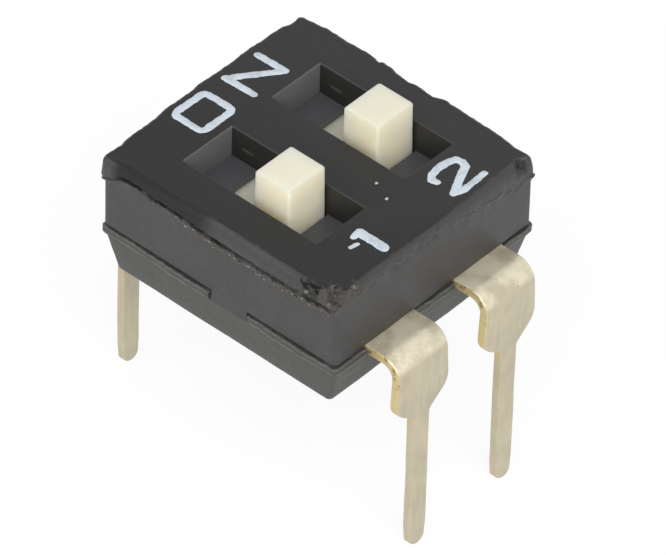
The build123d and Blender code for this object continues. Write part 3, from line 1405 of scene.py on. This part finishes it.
@dataclass
class Base:
    """The moulded lower half: tapered body, ragged flange, deck, and slots for tongues and legs.

    Attributes:
        corner: Radius of the upright edges.
        ledge_z, flange_top, flange_out, ledge_in: The flange, and how far the wall below it steps in.
        deck_in: How far the deck inside the flange lies in from the outline.
        taper: How far the foot of the body lies in, on the X and the Y sides.
        chamfer: Size of the bevel round the underside.
        gap, seat_gap: Room round the tongues and beside the legs.
        notch_corner, seat_corner: Radii of the slots' upright edges.
        wander: How its walls wander.
    """

    corner: float = 0.10
    ledge_z: float = 4.92
    flange_top: float = 5.11
    flange_out: float = 0.035
    ledge_in: float = 0.02
    deck_in: float = 0.14
    taper: tuple[float, float] = (0.163, 0.247)
    chamfer: float = 0.06
    gap: float = 0.03
    seat_gap: float = 0.015
    notch_corner: float = 0.01
    seat_corner: float = 0.004
    wander: Unevenness = field(default_factory=lambda: Unevenness(
        drift=dict.fromkeys(
            Side, ((-2.8, 0.0), (-1.9, 0.012), (-0.6, -0.012), (0.9, 0.014), (2.0, -0.01), (2.8, 0.0))
        ),
        rag_depth=0.016,
        rag_scale=2.6,
    ))

    def body(self, low_z: float) -> list[Level]:
        """Heights of the bevelled and tapered body below the flange.

        Args:
            low_z: Height of the underside.

        Returns:
            The levels, from the underside up.
        """
        foot_x, foot_y = (lean + self.chamfer * 0.8 for lean in self.taper)
        made = [
            Level(low_z, -foot_x, -foot_y, 0.2, 0.1),
            Level(low_z + 0.018, -foot_x + 0.03, -foot_y + 0.03, 0.3, 0.2),
        ]
        for i in range(8):
            share = i / 7
            z = low_z + self.chamfer + share * (self.ledge_z - 0.015 - low_z - self.chamfer)
            lean = 1 - (z - low_z) / (self.ledge_z - low_z)
            out_x, out_y = (-self.ledge_in - (inset - self.ledge_in) * lean for inset in self.taper)
            made.append(Level(z, out_x, out_y, 0.4, 0.35))
        return made

    def flange(self, deck_z: float) -> list[Level]:
        """Heights of the flange, and of the deck inside it.

        Args:
            deck_z: Height of the deck.

        Returns:
            The levels, from the ledge up.
        """
        ledge, top, out = self.ledge_z, self.flange_top, self.flange_out
        rows = (  # height, growth, drift, rag
            (ledge, -0.005, 0.6, 0.9), (ledge + 0.015, out - 0.012, 1, 1.2), (ledge + 0.04, out, 1, 1.0),
            (ledge + 0.1, out - 0.002, 1, 0.7), (top - 0.02, out + 0.002, 1, 1.3), (top, out - 0.015, 1, 1.2),
            (top + 0.001, -0.03, 0.2, 0.2), (top + 0.002, -self.deck_in, 0.0, 0.0),
            (deck_z, -self.deck_in, 0.0, 0.0),
        )
        return [Level(z, grow, grow, drift, rag) for z, grow, drift, rag in rows]

    def build(self, cover: Cover, centres: Sequence[float], low_z: float) -> bpy.types.Object:
        """Builds the base.

        Args:
            cover: The cover whose tongues drop into it.
            centres: X of each position.
            low_z: Height of its underside.

        Returns:
            The piece.
        """
        outline = Outline(PLAN.half_x, PLAN.half_y, self.corner)
        levels = self.body(low_z) + self.flange(PLAN.parting_z)
        base = self.wander.loft(outline, levels).make("base_body")
        combine(base, self.slots(cover, centres), Cut.TAKE_AWAY)
        settle(base, smooth_to=32.0)
        return base

    def slots(self, cover: Cover, centres: Sequence[float]) -> list[bpy.types.Object]:
        """Cutters for the two tongue notches and the seats of the legs.

        Args:
            cover: The cover whose tongues drop in.
            centres: X of each position.

        Returns:
            The cutters.
        """
        made = []
        high_z = PLAN.parting_z + 2 * LAP
        for end in (-1, 1):
            near = end * (PLAN.half_x - cover.tongue_depth - self.gap)
            far = end * (PLAN.half_x + 3 * LAP)
            half = cover.tongue_half + self.gap
            low = (min(near, far), cover.tongue_y - half, self.ledge_z - self.gap)
            high = (max(near, far), cover.tongue_y + half, high_z)
            made.append(brick("notch", low, high, self.notch_corner))
        seat_z = PLAN.parting_z - PLAN.sheet
        for row in Row:
            anchor = row.value * PLAN.anchor_y
            tip = PLAN.split_y + row.value * PLAN.split_gap / 2
            outside = row.value * (PLAN.half_y + 3 * LAP)
            for x in centres:
                for name, half, end, low_z in (
                    ("pad_seat", PLAN.pad_half, tip, seat_z),
                    ("leg_seat", row.shoulder_half + self.seat_gap, outside, seat_z - 0.004),
                ):
                    low_y, high_y = sorted((anchor, end))
                    low, high = (x - half, low_y, low_z), (x + half, high_y, high_z)
                    made.append(brick(name, low, high, self.seat_corner))
        return made


# Metal


@dataclass
class Terminal:
    """One leg, bend and contact pad, pressed from plated strip.

    Attributes:
        row, x: Which leg it is.
        outer_y: How far the leg's outer face stands from the middle plane.
        bend: Outer radius of the bend.
        flare, shoulder_z, leg_z, leg_half: The shoulder, and the stem below it.
        tip_half, tip_length: The narrowed tip.
        edge, edge_steps: Rounding of the strip's edges.
        bend_steps: Segments in the bend.
        wave_step: Longest run between two sections of the leg.
    """

    row: Row
    x: float
    outer_y: float = 3.91
    bend: float = 0.45
    flare: float = 0.05
    shoulder_z: float = 3.88
    leg_z: float = 3.44
    leg_half: float = 0.23
    tip_half: float = 0.19
    tip_length: float = 0.50
    edge: float = 0.035
    edge_steps: int = 3
    bend_steps: int = 16
    wave_step: float = 0.16

    def half_widths(self) -> list[tuple[float, float]]:
        """The front outline from the bend down to the tip.

        Returns:
            Half widths and heights, in steps small enough to carry the strip's soft waves.
        """
        corners = [
            (self.row.shoulder_half, PLAN.parting_z - self.bend, 0.0),
            (self.row.shoulder_half + self.flare, self.shoulder_z, 0.42),
            (self.leg_half, self.leg_z, 0.14),
            (self.leg_half, self.tip_length, 0.12),
            (self.tip_half, 0.0, 0.16),
            (0.02, 0.0, 0.0),
        ]
        found = fillet(corners, 9)
        lines = [found[0]]
        for before, here in zip(found, found[1:]):
            count = max(1, math.ceil((before[1] - here[1]) / self.wave_step))
            for i in range(1, count + 1):
                share = i / count
                lines.append(tuple(a + (b - a) * share for a, b in zip(before, here)))
        return lines

    def sections(self) -> list[tuple[float, float, float, float, float]]:
        """Middle line of the strip from the pad's tip to the leg's tip.

        Returns:
            For each section its distance from the middle plane along Y, its height, the outward
            direction in that plane, and its half width.
        """
        middle_z, shoulder = PLAN.parting_z - PLAN.sheet / 2, self.row.shoulder_half
        tip_y = self.row.value * PLAN.split_y + PLAN.split_gap / 2
        flat = ((tip_y, PLAN.pad_half), (PLAN.anchor_y, PLAN.pad_half), (PLAN.anchor_y + 0.02, shoulder))
        found = [(y, middle_z, 0.0, 1.0, half) for y, half in flat]
        centre_y, centre_z = self.outer_y - self.bend, PLAN.parting_z - self.bend
        radius = self.bend - PLAN.sheet / 2
        for i in range(self.bend_steps + 1):
            angle = math.radians(90 - 90 * i / self.bend_steps)
            ny, nz = math.cos(angle), math.sin(angle)
            found.append((centre_y + radius * ny, centre_z + radius * nz, ny, nz, shoulder))
        for half, z in self.half_widths()[1:]:
            found.append((self.outer_y - PLAN.sheet / 2, z, 1.0, 0.0, half))
        return found

    def ring(self, y: float, z: float, out_y: float, out_z: float, half: float) -> list[Point]:
        """Cross-section of the strip, with rounded edges and slight waves.

        Args:
            y: Distance of its middle from the middle plane.
            z: Height of its middle.
            out_y: The outward direction along Y.
            out_z: The same along Z.
            half: Its half width.

        Returns:
            The points round it.
        """
        edge = min(self.edge, half * 0.9)
        points = []
        for turn, (across, through) in enumerate(((1, -1), (1, 1), (-1, 1), (-1, -1))):
            for i in range(self.edge_steps + 1):
                angle = math.radians(-90 + 90 * turn + 90 * i / self.edge_steps)
                side = across * (half - edge) + edge * math.cos(angle)
                wave = grain(1.1, self.x * 3 + across * 7, self.row.value * 5, z)
                side += 0.010 * min(1.0, half / 0.2) * wave
                depth = through * (PLAN.sheet / 2 - edge) + edge * math.sin(angle)
                depth += 0.006 * grain(1.3, self.x * 3 + side * 0.4, y + self.row.value * 5, z)
                points.append((self.x + side, self.row.value * (y + out_y * depth), z + out_z * depth))
        return points

    def build(self, name: str) -> bpy.types.Object:
        """Builds the leg.

        Args:
            name: The piece's name.

        Returns:
            The piece.
        """
        skin = Skin()
        skin.loft([self.ring(*section) for section in self.sections()])
        return skin.make(name, smooth_to=42.0)


# Sliders


@dataclass
class Slider:
    """Ivory slider: knob, plate, rails and the post for its spring.

    Attributes:
        x, y: The middle of the knob.
        knob_half, knob_lean, knob_corner: The knob; it is wider at the foot by the lean.
        knob_round, round_steps: Rounding of its top edges.
        plate_half, plate_z: The plate under the recess floor.
        rail_width, rail_z: The two rails below the plate.
        post_radius, post_z: The post.
        plate_edge, rail_edge: Rounding of the upright edges.
    """

    x: float
    y: float
    knob_half: tuple[float, float] = (0.52, 0.45)
    knob_lean: float = 0.0195
    knob_corner: float = 0.055
    knob_round: float = 0.036
    round_steps: int = 9
    plate_half: tuple[float, float] = (0.90, 1.447)
    plate_z: tuple[float, float] = (5.70, 6.00)
    rail_width: float = 0.24
    rail_z: float = 5.18
    post_radius: float = 0.13
    post_z: float = 5.56
    plate_edge: float = 0.02
    rail_edge: float = 0.015

    def knob(self, top_z: float) -> bpy.types.Object:
        """The knob, with leaning sides and rounded edges.

        Args:
            top_z: Height of its top.

        Returns:
            The knob, which reaches down into the plate.
        """
        foot_z = self.plate_z[0] + LAP / 2
        rows = [(foot_z, self.knob_lean)]
        for share in (0.25, 0.5, 0.75):
            z = foot_z + share * (top_z - self.knob_round - foot_z)
            rows.append((z, self.knob_lean * (1 - share)))
        for i in range(self.round_steps + 1):
            angle = math.radians(90 * i / self.round_steps)
            z = top_z - self.knob_round * (1 - math.sin(angle))
            rows.append((z, self.knob_round * (math.cos(angle) - 1)))
        rows.append((top_z, -self.knob_round - 0.02))
        outline = Outline(*self.knob_half, self.knob_corner, 0.06, 6, (self.x, self.y))
        skin = Skin()
        skin.loft([outline.ring(z, out, out) for z, out in rows])
        return skin.make("knob")

    def build(self, name: str, top_z: float) -> bpy.types.Object:
        """Builds the slider.

        Args:
            name: The piece's name.
            top_z: Height of the knob's top.

        Returns:
            The piece.
        """
        hx, hy = self.plate_half
        low = (self.x - hx, self.y - hy, self.plate_z[0])
        slider = brick(name, low, (self.x + hx, self.y + hy, self.plate_z[1]), self.plate_edge)
        joint_z = self.plate_z[0] + LAP
        parts = [self.knob(top_z)]
        for side in (-1, 1):
            ends = sorted((self.x + side * hx, self.x + side * (hx - self.rail_width)))
            low = (ends[0], self.y - hy, self.rail_z)
            parts.append(brick("rail", low, (ends[1], self.y + hy, joint_z), self.rail_edge))
        reach = self.post_radius
        low = (self.x - reach, self.y - reach, self.post_z)
        parts.append(brick("post", low, (self.x + reach, self.y + reach, joint_z), reach * 0.999))
        combine(slider, parts, Cut.ADD)
        settle(slider, smooth_to=34.0)
        return slider


# Print


@dataclass(frozen=True)
class Stroke:
    """One line of print through its points, with a half width at each end."""

    path: tuple[tuple[float, float], ...]
    start: float
    end: float

    def distance(self, x: float, y: float) -> float:
        """How far a point lies outside the stroke.

        Args:
            x: The point's X.
            y: The point's Y.

        Returns:
            The distance, below 0 inside the stroke.
        """
        spans = len(self.path) - 1
        nearest = math.inf
        for i, (first, second) in enumerate(zip(self.path, self.path[1:])):
            run_x, run_y = second[0] - first[0], second[1] - first[1]
            share = ((x - first[0]) * run_x + (y - first[1]) * run_y) / (run_x * run_x + run_y * run_y)
            share = min(1.0, max(0.0, share))
            gap = math.hypot(x - first[0] - share * run_x, y - first[1] - share * run_y)
            width = self.start + (self.end - self.start) * (i + share) / spans
            nearest = min(nearest, gap - width)
        return nearest


@dataclass(frozen=True)
class Mark:
    """One printed sign: strokes with uneven edges, laid on the top face as a thin film of ink.

    Attributes:
        name, strokes: What it is.
        wear: How uneven its edges are.
        cell: Width of a square of its mesh.
        film, seat: How far the ink stands above the face, and how deep it sits in it.
    """

    name: str
    strokes: tuple[Stroke, ...]
    wear: float = 0.016
    cell: float = 0.016
    film: float = 0.010
    seat: float = 0.004

    def distance(self, x: float, y: float) -> float:
        """Signed distance to the sign's uneven edge."""
        clean = min(stroke.distance(x, y) for stroke in self.strokes)
        return clean + self.wear * (grain(5.5, x, y) + 0.7 * grain(15.0, x, y))

    def snapped(self, x: float, y: float) -> tuple[float, float]:
        """Moves a point of the mesh's rim onto the sign's edge.

        Args:
            x: The point's X.
            y: The point's Y.

        Returns:
            The nearest point on the edge.
        """
        small = self.cell * 0.25
        here = self.distance(x, y)
        slope_x = (self.distance(x + small, y) - here) / small
        slope_y = (self.distance(x, y + small) - here) / small
        steep = max(slope_x * slope_x + slope_y * slope_y, 0.25)
        reach = max(-self.cell, min(self.cell, here))
        return x - reach * slope_x / steep, y - reach * slope_y / steep

    def build(self, top_z: float) -> bpy.types.Object:
        """Builds the sign.

        Args:
            top_z: Height of the face that carries it.

        Returns:
            The piece.
        """
        places = [point for stroke in self.strokes for point in stroke.path]
        low_x, high_x = min(p[0] for p in places) - 0.2, max(p[0] for p in places) + 0.2
        low_y, high_y = min(p[1] for p in places) - 0.2, max(p[1] for p in places) + 0.2
        columns, rows = round((high_x - low_x) / self.cell), round((high_y - low_y) / self.cell)
        work = bmesh.new()
        corners: dict[tuple[int, int], bmesh.types.BMVert] = {}
        for i in range(columns):
            for j in range(rows):
                x, y = low_x + (i + 0.5) * self.cell, low_y + (j + 0.5) * self.cell
                if self.distance(x, y) >= 0:
                    continue
                keys = ((i, j), (i + 1, j), (i + 1, j + 1), (i, j + 1))
                for column, row in keys:
                    if (column, row) not in corners:
                        place = (low_x + column * self.cell, low_y + row * self.cell, 0.0)
                        corners[column, row] = work.verts.new(place)
                work.faces.new([corners[key] for key in keys])
        rim = {vertex for edge in work.edges if edge.is_boundary for vertex in edge.verts}
        for vertex in work.verts:
            x, y = vertex.co.x, vertex.co.y
            if vertex in rim:
                x, y = self.snapped(x, y)
            thick = self.film * min(1.0, max(0.0, -self.distance(x, y) / (3 * self.cell)))
            vertex.co = Vector((x, y, top_z + 0.002 + thick)) * MM
        lower = bmesh.ops.extrude_face_region(work, geom=list(work.faces))
        for vertex in (item for item in lower["geom"] if isinstance(item, bmesh.types.BMVert)):
            vertex.co.z = (top_z - self.seat) * MM
        return finished(self.name, work, smooth_to=60.0)


@dataclass(frozen=True)
class Legend:
    """The word and the numbers printed on the top face.

    Attributes:
        o_centre, o_half, o_corner, o_line: The O, a rounded rectangle, and half its line's width.
    """

    o_centre: tuple[float, float] = (-0.61, 2.458)
    o_half: tuple[float, float] = (0.445, 0.380)
    o_corner: float = 0.12
    o_line: float = 0.084

    def letter_o(self) -> Stroke:
        """The O, a closed rounded rectangle."""
        ring = Outline(*self.o_half, self.o_corner, 0.3, 4, self.o_centre).ring(0.0)
        return Stroke(tuple((x, y) for x, y, _ in ring + ring[:1]), self.o_line, self.o_line)

    def marks(self) -> list[Mark]:
        """All signs, with their strokes where the photograph shows them.

        Returns:
            The two letters, the 1 with its worn flag, and the 2.
        """
        letter_n = (
            Stroke(((0.44, 2.09), (0.42, 2.83)), 0.078, 0.085),
            Stroke(((0.42, 2.82), (0.90, 2.47), (1.36, 2.13)), 0.080, 0.085),
            Stroke(((1.37, 2.13), (1.36, 2.83)), 0.082, 0.080),
        )
        one = (
            Stroke(((-1.12, -2.07), (-1.12, -2.67)), 0.110, 0.112),
            Stroke(((-1.30, -2.06), (-1.12, -2.04)), 0.070, 0.085),
        )
        flag = Stroke(((-1.560, -2.222), (-1.390, -2.240)), 0.050, 0.048)
        two = (
            Stroke(((0.96, -2.18), (0.94, -2.06), (1.04, -1.97), (1.25, -1.93), (1.50, -1.94)), 0.075, 0.092),
            Stroke(((1.50, -1.94), (1.70, -2.01), (1.74, -2.14), (1.68, -2.27)), 0.092, 0.085),
            Stroke(((1.68, -2.27), (1.46, -2.38), (1.20, -2.50), (0.96, -2.62)), 0.085, 0.085),
            Stroke(((0.95, -2.63), (1.16, -2.70), (1.78, -2.67)), 0.085, 0.072),
        )
        return [
            Mark("print_O", (self.letter_o(),)), Mark("print_N", letter_n), Mark("print_1", one),
            Mark("print_1_flag", (flag,), wear=0.02), Mark("print_2", two),
        ]

    def build(self, top_z: float) -> None:
        """Prints every sign in white ink on the face at this height."""
        ink = PrintInk().make("white_ink")
        for mark in self.marks():
            dress(mark.build(top_z), ink, "housing", "cover_plastic")


# Studio


@dataclass(frozen=True)
class Lamp:
    """One square soft lamp that faces the object.

    Attributes:
        name: Its name.
        azimuth: Its bearing in degrees, 0 in front of the number side and 90 at +X.
        elevation: Its height above the floor in degrees.
        size: Its width in millimetres.
        power: Its power in watts.
        tint: Its colour.
        distance: How far it stands from the target, in millimetres.
    """

    name: str
    azimuth: float
    elevation: float
    size: float
    power: float
    tint: Colour
    distance: float = 120.0

    def build(self, target: Point) -> None:
        """Adds the lamp.

        Args:
            target: The point that it faces, in millimetres.
        """
        back = bearing(self.azimuth, self.elevation)
        data = bpy.data.lights.new(self.name, "AREA")
        data.size = self.size * MM
        data.energy = self.power
        data.color = self.tint
        lamp = bpy.data.objects.new(self.name, data)
        lamp.location = (Vector(target) + back * self.distance) * MM
        lamp.rotation_mode = "QUATERNION"
        lamp.rotation_quaternion = back.to_track_quat("Z", "Y")
        bpy.context.scene.collection.objects.link(lamp)


def bearing(azimuth: float, elevation: float) -> Vector:
    """Direction from the object towards a bearing and a height above the floor, both in degrees."""
    a, e = math.radians(azimuth), math.radians(elevation)
    return Vector((math.sin(a) * math.cos(e), -math.cos(a) * math.cos(e), math.sin(e)))


@dataclass
class Studio:
    """Pale floor, soft lamps and the camera of the photograph, all in millimetres and degrees.

    Attributes:
        azimuth, elevation, roll, distance, target: Where the camera stands, and what it looks at.
        focal_pixels, picture_width: Its focal length and the photograph's width, in pixels.
        shift: How far it is moved sideways and up.
        sensor: Width of its sensor.
        floor_size, floor_shade, floor_glow: The floor, and the light that it gives off itself.
        glow_seen, glow_mirrored: How much of that glow the camera and the reflections see.
        sky, mirrored_sky: Strength of the sky as a light and in reflections.
        lamps: The lamps.
    """

    azimuth: float = -49.053
    elevation: float = 42.471
    roll: float = 1.572
    distance: float = 160.0
    target: Point = (0.0, 0.0, 4.0)
    focal_pixels: float = 8211.565
    picture_width: int = 666
    shift: tuple[float, float] = (0.329, -0.224)
    sensor: float = 36.0
    floor_size: float = 600.0
    floor_shade: float = 0.82
    floor_glow: float = 1.06
    glow_seen: float = 0.82
    glow_mirrored: float = 0.95
    sky: float = 0.48
    mirrored_sky: float = 0.80
    lamps: tuple[Lamp, ...] = (
        Lamp("key_lamp", -32.0, 42.0, 110.0, 0.112, (1.0, 0.99, 0.97)),
        Lamp("side_lamp", -100.0, 38.0, 90.0, 0.042, (0.97, 0.985, 1.0)),
    )

    def camera(self) -> None:
        """Places the camera that the photograph's view was fitted to."""
        back, roll = bearing(self.azimuth, self.elevation), math.radians(self.roll)
        right = Vector((0, 0, 1)).cross(back).normalized()
        up = back.cross(right)
        across = right * math.cos(roll) + up * math.sin(roll)
        upward = up * math.cos(roll) - right * math.sin(roll)
        data = bpy.data.cameras.new("camera")
        data.sensor_width = self.sensor
        data.lens = self.focal_pixels / self.picture_width * self.sensor
        data.clip_start, data.clip_end = 0.02, 2.0
        camera = bpy.data.objects.new("camera", data)
        place = Vector(self.target) + back * self.distance + across * self.shift[0] + upward * self.shift[1]
        turn = Matrix((across, upward, back)).transposed().to_4x4()
        camera.matrix_world = Matrix.Translation(place * MM) @ turn
        bpy.context.scene.collection.objects.link(camera)
        bpy.context.scene.camera = camera

    def floor(self) -> None:
        """Lays a white floor that keeps a faint shadow and shows white in reflections."""
        half = self.floor_size * MM / 2
        mesh = bpy.data.meshes.new("floor")
        corners = [(-half, -half, 0), (half, -half, 0), (half, half, 0), (-half, half, 0)]
        mesh.from_pydata(corners, [], [(0, 1, 2, 3)])
        floor = link("floor", mesh)
        floor.location.z = -0.0000005
        shader = Shader("floor_paper")
        fibre = shader.mottle(shader.place(), 0.05, 2.0)
        shader.set(Base_Color=shader.mix(fibre, (self.floor_shade,) * 3, (self.floor_shade * 0.99,) * 3))
        shader.set(Roughness=0.9)
        glow = shader.add("ShaderNodeEmission", {}, {"Color": (1.0, 1.0, 1.0), "Strength": self.floor_glow})
        seen = shader.add("ShaderNodeLightPath", {}, {}, "Is Camera Ray")
        mirrored = shader.add("ShaderNodeLightPath", {}, {}, "Is Glossy Ray")
        share = (seen * self.glow_seen + mirrored * self.glow_mirrored).clamp()
        paper = Wire(shader, shader.surface.outputs[0])
        both = shader.add("ShaderNodeMixShader", {}, {0: share, 1: paper, 2: glow})
        shader.feed(shader.output.inputs["Surface"], both)
        mesh.materials.append(shader.material)
        floor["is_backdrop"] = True

    def world(self) -> None:
        """Gives the scene a soft even sky that the camera sees as white."""
        world = bpy.data.worlds.new("sky")
        world.use_nodes = True
        graph = Graph(world.node_tree)
        background = graph.tree.nodes["Background"]
        graph.feed(background.inputs["Color"], (1.0, 1.0, 1.0))
        strength: Wire | float = self.sky
        for ray, value in (("Is Glossy Ray", self.mirrored_sky), ("Is Camera Ray", 1.0)):
            seen = graph.add("ShaderNodeLightPath", {}, {}, ray)
            inputs = {"Value": seen, "To Min": strength, "To Max": value}
            strength = graph.add("ShaderNodeMapRange", {}, inputs)
        graph.feed(background.inputs["Strength"], strength)
        bpy.context.scene.world = world

    def build(self) -> None:
        """Sets up the whole studio."""
        bpy.context.scene.view_settings.view_transform = "Standard"
        self.camera()
        self.floor()
        self.world()
        for lamp in self.lamps:
            lamp.build(self.target)


# The whole switch


@dataclass
class Switch:
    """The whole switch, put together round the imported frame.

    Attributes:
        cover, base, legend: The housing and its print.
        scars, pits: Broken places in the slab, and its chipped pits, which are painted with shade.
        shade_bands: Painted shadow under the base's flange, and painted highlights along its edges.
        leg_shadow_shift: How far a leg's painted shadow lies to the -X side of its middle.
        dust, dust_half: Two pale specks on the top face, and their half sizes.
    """

    cover: Cover = field(default_factory=Cover)
    base: Base = field(default_factory=Base)
    legend: Legend = Legend()
    scars: tuple[Spot, ...] = (Spot(-2.64, -2.90, 0.52),)
    pits: tuple[Spot, ...] = (Spot(-2.82, -2.36, 0.22), Spot(2.50, -3.00, 0.16))
    # Painted shadow under the flange, then painted highlights along its edges.
    shade_bands: tuple[ShadeBand, ...] = (
        ShadeBand(4.885, 0.040, 0.008), ShadeBand(4.950, 0.040, 0.130), ShadeBand(5.085, 0.030, 0.095)
    )
    # Offset of the painted olive shadows beside the legs.
    leg_shadow_shift: float = 0.85
    dust: tuple[tuple[float, float], ...] = ((0.14, -1.36), (-0.06, -1.80))
    dust_half: Point = (0.036, 0.030, 0.02)

    def centres(self) -> list[float]:
        """X of each position, from the legs in the frame."""
        boxes = (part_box(f"terminal_number_side_{index}") for index in (1, 2))
        return [(low.x + high.x) / 2 / MM for low, high in boxes]

    def housing(self, centres: Sequence[float]) -> None:
        """Builds the cover and the base.

        Args:
            centres: X of each position.
        """
        low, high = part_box("cover")
        # Places of the painted olive shadows beside the legs.
        leg_shadows = tuple((x - self.leg_shadow_shift, PLAN.parting_z) for x in centres)
        upper = BlackPlastic(rims=self.cover.wander.drop, scars=self.scars, pits=self.pits, leg_shadows=leg_shadows)
        cover = self.cover.build(centres, low.z / MM, high.z / MM)
        dress(cover, upper.make("black_plastic"), "housing", "cover_plastic", "cover")
        lower = BlackPlastic(wall=(0.047, 0.046, 0.041), cool=(0.043, 0.043, 0.040), shade_bands=self.shade_bands)
        base = self.base.build(self.cover, centres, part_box("base")[0].z / MM)
        dress(base, lower.make("base_plastic"), "housing", "base_plastic", "base")

    def details(self) -> None:
        """Adds the print, the torn grains and the dust."""
        top_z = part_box("cover")[1].z / MM
        self.legend.build(top_z)
        torn = PaleSpeck().make("torn_grain")
        dress(self.cover.flecks(top_z - self.cover.slab), torn, "housing", "cover_plastic")
        pale = PaleSpeck(light=(0.60, 0.58, 0.52), dark=(0.42, 0.40, 0.36)).make("dust")
        specks = grains("dust_specks", [((x, y, top_z + 0.008), self.dust_half) for x, y in self.dust])
        dress(specks, pale, "housing", "cover_plastic")

    def legs(self, centres: Sequence[float]) -> None:
        """Builds the four legs.

        Args:
            centres: X of each position.
        """
        plate = PlatedSheet().make("plated_sheet")
        for row in Row:
            for index, x in enumerate(centres, 1):
                place = f"{row.name.lower()}_{index}"
                leg = Terminal(row, x).build(f"leg_{place}")
                dress(leg, plate, "housing", "plated_leg", f"terminal_{place}")

    def sliders(self, frame: dict, centres: Sequence[float]) -> None:
        """Builds the sliders, and gives the contact springs of the frame their metal.

        Args:
            frame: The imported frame.
            centres: X of each position.
        """
        ivory = IvoryPlastic().make("ivory_plastic")
        spring = SpringMetal().make("spring_metal")
        for index, x in enumerate(centres, 1):
            top_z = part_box(f"slider_{index}")[1].z / MM
            piece = Slider(x + PLAN.slider_shift, PLAN.knob_y).build(f"knob_{index}", top_z)
            dress(piece, ivory, f"slider_{index}", "knob_plastic", f"slider_{index}")
            contact = frame["nodes"][f"contact_{index}"]
            contact.data.materials.clear()
            contact.data.materials.append(spring)
            LOG.info("%s has its spring metal", contact.name)


def corners(box: tuple[Vector, Vector]) -> list[list[float]]:
    """A box as two plain lists of numbers."""
    return [list(corner) for corner in box]


def main() -> None:
    """Loads the frame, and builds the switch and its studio."""
    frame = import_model()
    cad_box = corners(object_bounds())
    Studio().build()
    switch = Switch()
    centres = switch.centres()
    switch.housing(centres)
    switch.details()
    switch.legs(centres)
    switch.sliders(frame, centres)
    {"cad": cad_box, "visual": corners(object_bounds())}


if __name__ == "__main__":
    logging.basicConfig(level=logging.INFO, format="%(message)s")
    main()
